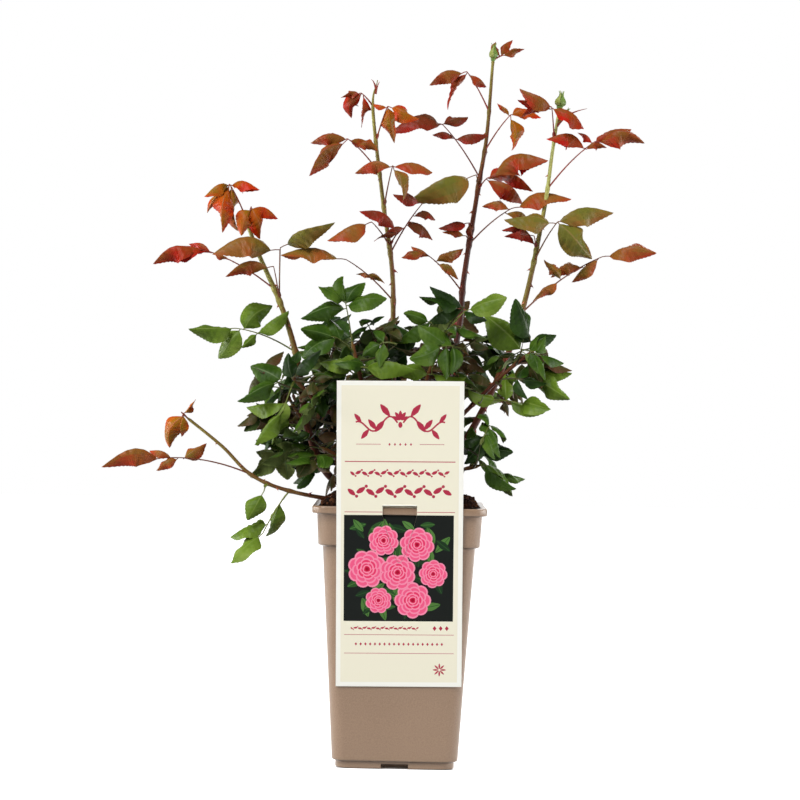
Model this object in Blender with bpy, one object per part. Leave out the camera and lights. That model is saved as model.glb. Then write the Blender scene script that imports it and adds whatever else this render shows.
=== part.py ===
"""A young bush rose in its square nursery pot, with a card label hooked on the pot's rim.

Metres, +Z up.  The origin is the centre of the pot's flat underside and the label hangs
on the -Y side.  Canes spring from a graft knob on the compost.  Each cane is bare at its
foot (a bough) and leafy above (a mass: stem, compound leaves and bud fused in one solid).
"""
import math
import random

import bmesh
import bpy
from mathutils import Matrix, Vector
from mathutils.bvhtree import BVHTree

MM = 0.001
UP = Vector((0.0, 0.0, 1.0))
FRONT = Vector((0.0, -1.0, 0.0))
GAP = 0.3 * MM

# ---- pot: half widths of its square outline, and the heights where they change ----
POT_HEIGHT = 260 * MM
LIP_HALF, LIP_DEPTH, LIP_ROUND = 86.2 * MM, 7.5 * MM, 1.0 * MM
COLLAR_TOP_HALF, COLLAR_FOOT_HALF, COLLAR_FOOT = 81.5 * MM, 79.8 * MM, 221.5 * MM
BODY_TOP_HALF, BODY_FOOT_HALF = 75.4 * MM, 62.6 * MM
FOOT_HALF, FOOT_HEIGHT, FOOT_ROUND = 59.0 * MM, 7.0 * MM, 2.5 * MM
STEP = 1.5 * MM
WALL, FLOOR = 1.8 * MM, 9.5 * MM
CORNER_RADIUS, CORNER_STEPS = 14 * MM, 3
NOTCH_WIDTH, NOTCH_HEIGHT, NOTCH_DEPTH = 27 * MM, 5.0 * MM, 22 * MM

# ---- compost ----
SOIL_TOP, SOIL_EDGE, SOIL_FLAT_HALF = 264 * MM, 256 * MM, 24 * MM

# ---- label card: it leans on the lip's lower edge and on the pot's side wall ----
CARD_WIDTH, CARD_LENGTH, CARD_THICK, CARD_FOOT = 124 * MM, 303 * MM, 0.8 * MM, 83 * MM
CARD_SWING = math.radians(-0.8)
TONGUE_WIDTH, TONGUE_TIP, TONGUE_HINGE, TONGUE_GAP = 33 * MM, 206 * MM, 264.5 * MM, 0.6 * MM
SLOT_WIDTH, SLOT_DEPTH, SLOT_Y = 36 * MM, 1.8 * MM, -82.9 * MM

# ---- graft knob ----
KNOB_RADIUS, KNOB_HEIGHT, STUB_ROOT = 15 * MM, 34 * MM, 14 * MM

# ---- growth ----
SIDES_BOUGH, SIDES_STEM = 6, 4
PATH_STEP = 20 * MM
RACHIS_RADIUS, RACHIS_TIP = 0.9 * MM, 1.0 * MM
BLADE_FOOT_HALF, BLADE_FOOT_RIDGE = 0.7 * MM, 0.5 * MM
LEAF_THICK = 0.7 * MM
HANG_TURN, HANG_SHARE = 0.45, 0.08
TWIG_RADIUS = 1.5 * MM
CLEAR = 0.35 * MM
GOLDEN = math.radians(137.5)

# How a leaf's age shows: the width of a leaflet by its length, and the fold of its blade.
AGES = {
    "young": dict(width=0.52, fold=0.25),
    "bronze": dict(width=0.48, fold=0.20),
    "grown": dict(width=0.66, fold=0.10),
}
AGE_OF = {"red": "young", "orange": "young", "maroon": "bronze", "bronze": "bronze",
          "olive": "bronze", "light": "grown", "green": "grown", "dark": "grown",
          "twig": "grown"}

# Each shoot: its route from the graft knob to its tip and radii at foot and tip, all in mm,
# and the share of the route where its leaves begin.
SHOOTS = {
    "left": dict(route=[(-16, -6, 280), (-68, -27, 285), (-94, -30, 335), (-105, -31, 400),
                        (-122, -33, 455), (-148, -36, 512), (-161, -38, 547)],
                 radii=(4.2, 2.0), bare=0.49),
    "centre": dict(route=[(-3, -5, 303), (-10, -26, 410), (-12, -34, 490), (-24, -38, 570),
                          (-35, -42, 655), (-31, -42, 684)],
                   radii=(3.2, 1.5), bare=0.30),
    "tall": dict(route=[(9, 7, 301), (38, 22, 350), (57, 38, 440), (61, 42, 490),
                        (74, 47, 585), (82, 50, 640), (87, 50, 720)],
                 radii=(4.2, 1.5), bare=0.43),
    "right": dict(route=[(16, 2, 290), (60, 13, 318), (97, 20, 388), (122, 20, 462),
                         (141, 20, 560), (149, 20, 625), (155, 20, 668)],
                  radii=(4.0, 1.5), bare=0.42),
    "low_left": dict(route=[(-14, -12, 272), (-60, -46, 266), (-110, -52, 273),
                            (-148, -52, 288), (-178, -50, 316), (-214, -48, 344)],
                     radii=(2.4, 1.5), bare=0.38),
    "low_right": dict(route=[(15, -9, 280), (48, -28, 293), (80, -38, 302)],
                      radii=(2.2, 1.6), bare=0.60),
    "side_right": dict(route=[(11, -11, 294), (45, -32, 335), (104, -40, 396), (133, -42, 420)],
                       radii=(2.6, 1.6), bare=0.42),
    "front_left": dict(route=[(-11, -11, 294), (-32, -48, 350), (-51, -60, 423)],
                       radii=(2.4, 1.6), bare=0.45),
    "front_right": dict(route=[(3, -14, 303), (16, -48, 360), (38, -56, 428)],
                        radii=(2.4, 1.6), bare=0.45),
    "thicket_low": dict(route=[(-8, -16, 280), (-40, -44, 296), (-80, -56, 318)],
                        radii=(2.2, 1.6), bare=0.40),
    "thicket_left": dict(route=[(-14, -6, 299), (-50, -46, 335), (-84, -66, 362), (-114, -74, 392)],
                         radii=(2.8, 1.6), bare=0.40),
    "thicket_outer": dict(route=[(-13, 8, 286), (-75, 26, 310), (-120, 32, 370)],
                          radii=(2.8, 1.6), bare=0.40),
    "back_left": dict(route=[(-7, 14, 296), (-40, 70, 345), (-48, 92, 420)],
                      radii=(3.0, 1.6), bare=0.40),
    "back_right": dict(route=[(8, 14, 292), (50, 66, 340), (66, 92, 425)],
                       radii=(3.0, 1.6), bare=0.40),
}


def mm(*values):
    """A point given in millimetres, in metres."""
    return Vector(values) * MM


# ------------------------------------------------------------------ small mesh helpers

def material(name, colour, roughness):
    """A Principled BSDF with a base colour and roughness."""
    made = bpy.data.materials.new(name)
    made.use_nodes = True
    shader = made.node_tree.nodes["Principled BSDF"]
    shader.inputs["Base Color"].default_value = (*colour, 1.0)
    shader.inputs["Roughness"].default_value = roughness
    return made


def add_object(name, vertices, faces, finish=None):
    """A mesh object in the scene, its faces turned outwards."""
    mesh = bpy.data.meshes.new(name)
    mesh.from_pydata([tuple(v) for v in vertices], [], faces)
    made = bpy.data.objects.new(name, mesh)
    bpy.context.scene.collection.objects.link(made)
    shape = bmesh.new()
    shape.from_mesh(mesh)
    bmesh.ops.recalc_face_normals(shape, faces=shape.faces)
    shape.to_mesh(mesh)
    shape.free()
    if finish:
        mesh.materials.append(finish)
    return made


def loft(rings):
    """Vertices and faces of a closed solid through rings of equal length, capped at both ends."""
    count = len(rings[0])
    vertices = [point for ring in rings for point in ring]
    faces = [tuple(reversed(range(count)))]
    for level in range(len(rings) - 1):
        low, high = level * count, (level + 1) * count
        for k in range(count):
            after = (k + 1) % count
            faces.append((low + k, low + after, high + after, high + k))
    faces.append(tuple((len(rings) - 1) * count + k for k in range(count)))
    return vertices, faces


def combine(target, others, operation):
    """Apply one Boolean with a collection of other objects, then remove them."""
    helpers = bpy.data.collections.new("helpers")
    bpy.context.scene.collection.children.link(helpers)
    for other in others:
        bpy.context.scene.collection.objects.unlink(other)
        helpers.objects.link(other)
    modifier = target.modifiers.new("join", "BOOLEAN")
    modifier.operation = operation
    modifier.solver = "EXACT"
    modifier.operand_type = "COLLECTION"
    modifier.collection = helpers
    bpy.context.view_layer.update()
    graph = bpy.context.evaluated_depsgraph_get()
    made = bpy.data.meshes.new_from_object(target.evaluated_get(graph))
    target.modifiers.clear()
    target.data = made
    for other in others:
        bpy.data.objects.remove(other)
    bpy.data.collections.remove(helpers)


def keep_largest_shell(made):
    """Drop loose scraps and sealed hollows: only the widest connected shell stays."""
    shape = bmesh.new()
    shape.from_mesh(made.data)
    shape.faces.ensure_lookup_table()
    seen = set()
    shells = []
    for face in shape.faces:
        if face.index in seen:
            continue
        shell, front = [], [face]
        seen.add(face.index)
        while front:
            current = front.pop()
            shell.append(current)
            for edge in current.edges:
                for near in edge.link_faces:
                    if near.index not in seen:
                        seen.add(near.index)
                        front.append(near)
        shells.append(shell)
    shells.sort(key=len, reverse=True)
    scraps = [face for shell in shells[1:] for face in shell]
    bmesh.ops.delete(shape, geom=scraps, context="FACES")
    bmesh.ops.triangulate(shape, faces=shape.faces)
    shape.to_mesh(made.data)
    shape.free()


# ------------------------------------------------------------------ pot, compost and label

def rounded_square(half, height, radius=CORNER_RADIUS):
    """A ring of points round a square with rounded corners."""
    ring = []
    for corner in range(4):
        turn = corner * math.pi / 2
        centre = Matrix.Rotation(turn, 3, "Z") @ Vector((half - radius, half - radius, 0))
        for k in range(CORNER_STEPS + 1):
            angle = turn + k / CORNER_STEPS * math.pi / 2
            arm = Vector((math.cos(angle), math.sin(angle), 0)) * radius
            ring.append(centre + arm + UP * height)
    return ring


def box(name, low, high):
    """A plain box, used to cut others."""
    corners = [(low[0], low[1]), (high[0], low[1]), (high[0], high[1]), (low[0], high[1])]
    return add_object(name, *loft([[Vector((x, y, z)) for x, y in corners] for z in (low[2], high[2])]))


def body_half(height):
    """The pot's half width at a height of its plain side wall."""
    share = (height - FOOT_HEIGHT - STEP) / (COLLAR_FOOT - FOOT_HEIGHT - 2 * STEP)
    return BODY_FOOT_HALF + share * (BODY_TOP_HALF - BODY_FOOT_HALF)


def make_pot(finish):
    """The pot's shell: foot, side wall, collar and lip outside, one smooth hollow inside."""
    lip_foot = POT_HEIGHT - LIP_DEPTH
    outline = [
        (FOOT_HALF - FOOT_ROUND, 0.0),
        (FOOT_HALF - 0.3 * FOOT_ROUND, 0.3 * FOOT_ROUND),
        (FOOT_HALF, FOOT_ROUND),
        (FOOT_HALF, FOOT_HEIGHT),
        (BODY_FOOT_HALF, FOOT_HEIGHT + STEP),
        (BODY_TOP_HALF, COLLAR_FOOT - STEP),
        (COLLAR_FOOT_HALF, COLLAR_FOOT),
        (COLLAR_TOP_HALF, lip_foot),
        (LIP_HALF, lip_foot + 0.2 * MM),
        (LIP_HALF, POT_HEIGHT - LIP_ROUND),
        (LIP_HALF - LIP_ROUND, POT_HEIGHT),
        (COLLAR_TOP_HALF - WALL, POT_HEIGHT),
        (COLLAR_FOOT_HALF - WALL, COLLAR_FOOT + STEP),
        (BODY_TOP_HALF - WALL, COLLAR_FOOT - STEP),
        (BODY_FOOT_HALF - WALL, FLOOR),
    ]
    pot = add_object("pot", *loft([rounded_square(half, height) for half, height in outline]), finish)
    notch = NOTCH_WIDTH / 2
    reach = BODY_FOOT_HALF + NOTCH_DEPTH
    cutters = []
    for k in range(4):
        cutter = box("notch", (-notch, BODY_FOOT_HALF - NOTCH_DEPTH, -NOTCH_HEIGHT),
                     (notch, reach, NOTCH_HEIGHT))
        cutter.data.transform(Matrix.Rotation(k * math.pi / 2, 4, "Z"))
        cutters.append(cutter)
    slot = SLOT_WIDTH / 2
    cutters.append(box("slot", (-slot, SLOT_Y - SLOT_DEPTH / 2, lip_foot - 2 * MM),
                       (slot, SLOT_Y + SLOT_DEPTH / 2, POT_HEIGHT + 2 * MM)))
    combine(pot, cutters, "DIFFERENCE")
    keep_largest_shell(pot)


def make_soil(finish):
    """Compost that fills the pot, 0.3 mm clear of it, heaped a little in the middle."""
    edge = COLLAR_TOP_HALF - WALL - 3 * GAP
    outline = [
        (BODY_FOOT_HALF - WALL - 2 * GAP, FLOOR + GAP),
        (BODY_TOP_HALF - WALL - 2 * GAP, COLLAR_FOOT - STEP),
        (COLLAR_FOOT_HALF - WALL - 3 * GAP, COLLAR_FOOT + 2 * STEP),
        (edge, SOIL_EDGE),
        (edge - 9 * MM, SOIL_EDGE + 4 * MM),
        (0.5 * edge, SOIL_TOP - 1.5 * MM),
        (SOIL_FLAT_HALF, SOIL_TOP),
    ]
    add_object("soil", *loft([rounded_square(half, height) for half, height in outline]), finish)


def tongue_half(height):
    """Half width of the label's tongue: straight at the top, then tapering to a round tip."""
    share = (height - TONGUE_TIP) / (POT_HEIGHT - LIP_DEPTH - TONGUE_TIP)
    if share >= 1.0:
        return TONGUE_WIDTH / 2
    return TONGUE_WIDTH / 2 * (0.62 * math.sqrt(max(share, 0.0)) + 0.38 * share)


def make_label(finish):
    """The card, leaning on lip and wall, with a die-cut tongue that hooks down through the lip."""
    lip_foot = POT_HEIGHT - LIP_DEPTH
    rest_y = -LIP_HALF - 2 * GAP
    foot_y = -body_half(CARD_FOOT) - 2 * GAP
    lean = math.atan2(foot_y - rest_y, lip_foot - CARD_FOOT)
    half = CARD_WIDTH / 2
    card = box("label", (-half, -CARD_THICK, 0), (half, 0, CARD_LENGTH))
    card.data.transform(Matrix.Translation((0, foot_y, CARD_FOOT)) @ Matrix.Rotation(lean, 4, "X"))
    card.data.materials.append(finish)

    def strip(name, route, widths, depth):
        rings = []
        for (y, z), wide in zip(route, widths):
            near, far = y - depth / 2, y + depth / 2
            rings.append([Vector(p) for p in
                          ((-wide, near, z), (wide, near, z), (wide, far, z), (-wide, far, z))])
        return add_object(name, *loft(rings))

    levels = [TONGUE_TIP + (lip_foot - TONGUE_TIP) * share for share in (0.02, 0.1, 0.25, 0.5, 0.75, 1.0)]
    levels.append(TONGUE_HINGE - 2 * MM)
    wide = [tongue_half(level) + TONGUE_GAP for level in levels]
    window = strip("window", [(rest_y, level) for level in levels], wide, 30 * MM)
    combine(card, [window], "DIFFERENCE")
    hang = [(SLOT_Y + 1.4 * MM * (lip_foot - z) / (lip_foot - TONGUE_TIP), z) for z in levels]
    tongue = strip("tongue", hang, [w - TONGUE_GAP for w in wide], CARD_THICK)
    face_y = rest_y - (TONGUE_HINGE - lip_foot) * math.tan(lean) - CARD_THICK
    bridge = box("bridge", (-TONGUE_WIDTH / 2, face_y, TONGUE_HINGE - 2 * MM - CARD_THICK),
                 (TONGUE_WIDTH / 2, SLOT_Y + CARD_THICK / 2, TONGUE_HINGE - MM))
    combine(card, [tongue, bridge], "UNION")
    keep_largest_shell(card)
    pivot = Matrix.Translation((0, rest_y, POT_HEIGHT))
    card.data.transform(pivot @ Matrix.Rotation(CARD_SWING, 4, "Y") @ pivot.inverted())


# ------------------------------------------------------------------ limbs

def smooth_route(points):
    """Points a step apart on a Catmull-Rom curve through the given points."""
    ends = [2 * points[0] - points[1]] + points + [2 * points[-1] - points[-2]]
    route = []
    for k in range(1, len(ends) - 2):
        before, start, stop, after = ends[k - 1:k + 3]
        steps = max(1, round((stop - start).length / PATH_STEP))
        for step in range(steps):
            t = step / steps
            route.append(0.5 * (2 * start + (stop - before) * t
                                + (2 * before - 5 * start + 4 * stop - after) * t ** 2
                                + (3 * start - before - 3 * stop + after) * t ** 3))
    return route + [points[-1]]


def route_length(route):
    return sum((b - a).length for a, b in zip(route, route[1:]))


def point_at(route, length):
    """The point and the direction at a length along a route."""
    for a, b in zip(route, route[1:]):
        step = (b - a).length
        if length <= step:
            return a + (b - a) * (length / step), (b - a).normalized()
        length -= step
    return route[-1].copy(), (route[-1] - route[-2]).normalized()


def piece_of_route(route, start, stop):
    """The stretch of a route between two lengths."""
    piece = [point_at(route, start)[0]]
    travelled = 0.0
    for a, b in zip(route, route[1:]):
        travelled += (b - a).length
        if start + 0.2 * PATH_STEP < travelled < stop - 0.2 * PATH_STEP:
            piece.append(b.copy())
    piece.append(point_at(route, stop)[0])
    return piece


def tube(route, radius_at, sides):
    """A tapering tube along a route, flat at both ends."""
    rings = []
    across = None
    travelled = 0.0
    for k, point in enumerate(route):
        ahead = route[min(k + 1, len(route) - 1)] - route[max(k - 1, 0)]
        axis = ahead.normalized()
        if across is None:
            across = axis.cross(Vector((0.31, 0.72, 0.11))).normalized()
        across = (across - axis * across.dot(axis)).normalized()
        other = axis.cross(across)
        if k:
            travelled += (point - route[k - 1]).length
        radius = radius_at(travelled)
        rings.append([point + radius * (across * math.cos(a) + other * math.sin(a))
                      for a in (2 * math.pi * s / sides for s in range(sides))])
    return loft(rings)


def taper(first, last, length):
    return lambda travelled: first + (last - first) * min(travelled / length, 1.0)


class Shoot:
    """A cane's route, split into its bare bough and its leafy stem."""

    def __init__(self, name, route, radii, bare):
        self.name = name
        foot = mm(*route[0])
        outward = (foot - mm(0, 0, route[0][2] - 9)).normalized()
        self.foot = foot
        self.heading = outward
        self.route = smooth_route([foot, foot + outward * 8 * MM] + [mm(*p) for p in route[1:]])
        self.length = route_length(self.route)
        self.radii = [r * MM for r in radii]
        self.bare = bare * self.length

    def radius(self, length):
        first, last = self.radii
        return first + (last - first) * length / self.length

    def bough(self):
        route = piece_of_route(self.route, GAP, self.bare - GAP)
        return tube(route, self.radius, SIDES_BOUGH)

    def stem(self, grow=0.0):
        route = piece_of_route(self.route, self.bare, self.length)
        return tube(route, lambda s: self.radius(self.bare + s) + grow, SIDES_STEM)


def make_crown(shoots, finish):
    """The graft knob: a short swollen stem with a stub for each cane."""
    foot = SOIL_TOP + GAP
    levels = [(1.0, 0.0), (0.86, 0.15), (0.80, 0.45), (0.92, 0.72), (0.62, 1.0)]
    rings = []
    for swell, share in levels:
        radius = swell * KNOB_RADIUS if share else KNOB_RADIUS * 1.1
        rings.append([Vector((radius * math.cos(a), radius * math.sin(a), foot + share * KNOB_HEIGHT))
                      for a in (2 * math.pi * k / 10 for k in range(10))])
    crown = add_object("crown", *loft(rings), finish)
    stubs = []
    for shoot in shoots:
        radius = 1.12 * shoot.radii[0]
        start = shoot.foot - shoot.heading * STUB_ROOT
        start.z = max(start.z, foot + radius)
        stubs.append(add_object("stub", *tube([start, shoot.foot - GAP * shoot.heading],
                                              taper(radius, radius, 1.0), SIDES_BOUGH)))
    combine(crown, stubs, "UNION")
    keep_largest_shell(crown)


# ------------------------------------------------------------------ leaves

def blade_rings(root, tip, normal, age, grow=0.0):
    """The widest ring of a ridged blade, its two edges and its ridge, and its tip."""
    axis = tip - root
    length = axis.length
    axis.normalize()
    normal = (normal - axis * normal.dot(axis)).normalized()
    side = axis.cross(normal)
    half = AGES[age]["width"] * length / 2 + grow
    sag = AGES[age]["fold"] * half * normal
    middle = root + axis * 0.42 * length
    widest = [middle + side * half - sag, middle - side * half - sag,
              middle + normal * (LEAF_THICK + grow)]
    return side, normal, widest, tip + axis * grow


def close_blade(vertices, faces, first, tip):
    """Close the last ring of three points, which starts at an index, with a tip."""
    point = len(vertices)
    vertices.append(tip)
    faces += [(first, first + 1, point), (first + 1, first + 2, point), (first + 2, first, point)]


def ring_bands(faces, first, rings):
    """The faces between rings of three points that follow each other from an index."""
    for ring in range(rings - 1):
        low = first + 3 * ring
        faces += [(low + k, low + (k + 1) % 3, low + 3 + (k + 1) % 3, low + 3 + k) for k in range(3)]


def leaflet(root, tip, normal, age, grow=0.0):
    """A side leaflet: a ridged blade, its small triangular foot sunk in the rachis."""
    side, normal, widest, point = blade_rings(root, tip, normal, age, grow)
    foot = [root + side * BLADE_FOOT_HALF, root - side * BLADE_FOOT_HALF,
            root + normal * BLADE_FOOT_RIDGE]
    vertices, faces = foot + widest, [(0, 1, 2)]
    ring_bands(faces, 0, 2)
    close_blade(vertices, faces, 3, point)
    return vertices, faces


def rachis_and_end(rachis, end, age, grow=0.0):
    """The three-sided rachis of a leaf, which widens into its end leaflet."""
    root, tip, normal = end
    side, normal, widest, point = blade_rings(root, tip, normal, age, grow)
    vertices, faces = [], [(0, 1, 2)]
    first, middle, last = rachis
    ways = (middle - first, last - first, (last - middle).normalized() + (tip - root).normalized())
    for share, centre, way in zip((0.0, 0.5, 1.0), rachis, ways):
        radius = RACHIS_RADIUS + share * (RACHIS_TIP - RACHIS_RADIUS) + grow
        across = (side - way * side.dot(way) / way.length_squared).normalized()
        high = across.cross(way).normalized()
        low = centre - high * 0.5 * radius
        vertices += [low + across * radius, low - across * radius, centre + high * radius]
    vertices += widest
    ring_bands(faces, 0, 4)
    close_blade(vertices, faces, 9, point)
    return vertices, faces


def arched_stalk(base, reach):
    """Three points of a leaf stalk that rises to the end of its reach."""
    end = base + reach
    knee = base + reach * 0.5 + UP * 0.12 * reach.length
    return [base * (1 - t) ** 2 + knee * 2 * t * (1 - t) + end * t ** 2 for t in (0.0, 0.5, 1.0)]


def upper_side(axis, face, toward, spare):
    """The way a blade along an axis faces, turned by the face angle from up to the toward way."""
    normal = UP * math.cos(face) + toward * math.sin(face)
    if abs(axis.dot(normal)) > 0.9:
        normal = spare
    return (normal - axis * normal.dot(axis)).normalized()


def placed_plan(base, reach, blades, turn):
    """A placed leaf: the points of its stalk, and root, tip and normal of each leaflet."""
    stalk = arched_stalk(base, turn @ reach)
    leaflets = []
    for k, (share, angle, long, face) in enumerate(blades):
        root = point_at(stalk, share * route_length(stalk))[0] if share < 1.0 else stalk[2].copy()
        angle = math.radians(angle)
        way = turn @ Vector((math.cos(angle), LEANS[k % len(LEANS)], math.sin(angle)))
        normal = upper_side(way.normalized(), math.radians(face), FRONT, UP)
        leaflets.append((root, root + way * long * MM, normal))
    return stalk, leaflets


def paired_plan(base, reach, size, pitch, face, pairs, heading, toward):
    """A filling leaf: an end leaflet at a pitch along the heading, and pairs of side leaflets."""
    stalk = arched_stalk(base, reach)
    axis = heading * math.cos(pitch) + UP * math.sin(pitch)
    normal = upper_side(axis, face, toward, heading)
    side = axis.cross(normal)
    leaflets = [(stalk[2], stalk[2] + axis * size, normal)]
    for pair in range(pairs):
        root = point_at(stalk, (0.90 - 0.36 * pair) * route_length(stalk))[0]
        long = size * (0.90 - 0.14 * pair)
        for sign in (-1, 1):
            out = (axis * 0.42 + side * sign * 0.9 - UP * PAIR_DROOP).normalized()
            tilt = (normal + side * sign * 0.25).normalized()
            leaflets.append((root, root + out * long, tilt))
    return stalk, leaflets


def hangs_back(rachis, tip):
    """Whether an end leaflet turns so far that it needs a foot of its own."""
    return (rachis[2] - rachis[1]).normalized().dot((tip - rachis[2]).normalized()) < HANG_TURN


def leaf_solids(plan, age, grow=0.0):
    """The solids of a planned leaf: its rachis with the end leaflet, then its side leaflets."""
    rachis, leaflets = plan
    if not leaflets:
        return [tube(rachis, taper(TWIG_RADIUS + grow, RACHIS_TIP + grow, route_length(rachis)), 3)]
    root, tip, normal = leaflets[0]
    if hangs_back(rachis, tip):
        stalk = tube(rachis, taper(RACHIS_RADIUS + grow, RACHIS_TIP + grow, route_length(rachis)), 3)
        near_end = root + HANG_SHARE * (rachis[1] - root)
        solids = [stalk, leaflet(near_end, tip, normal, age, grow)]
    else:
        solids = [rachis_and_end(rachis, leaflets[0], age, grow)]
    return solids + [leaflet(*blade, age, grow) for blade in leaflets[1:]]


def tree_of(solids):
    """One search tree over several solids."""
    vertices, faces = [], []
    for points, polygons in solids:
        first = len(vertices)
        vertices += points
        faces += [tuple(first + k for k in polygon) for polygon in polygons]
    return BVHTree.FromPolygons(vertices, faces)


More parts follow.
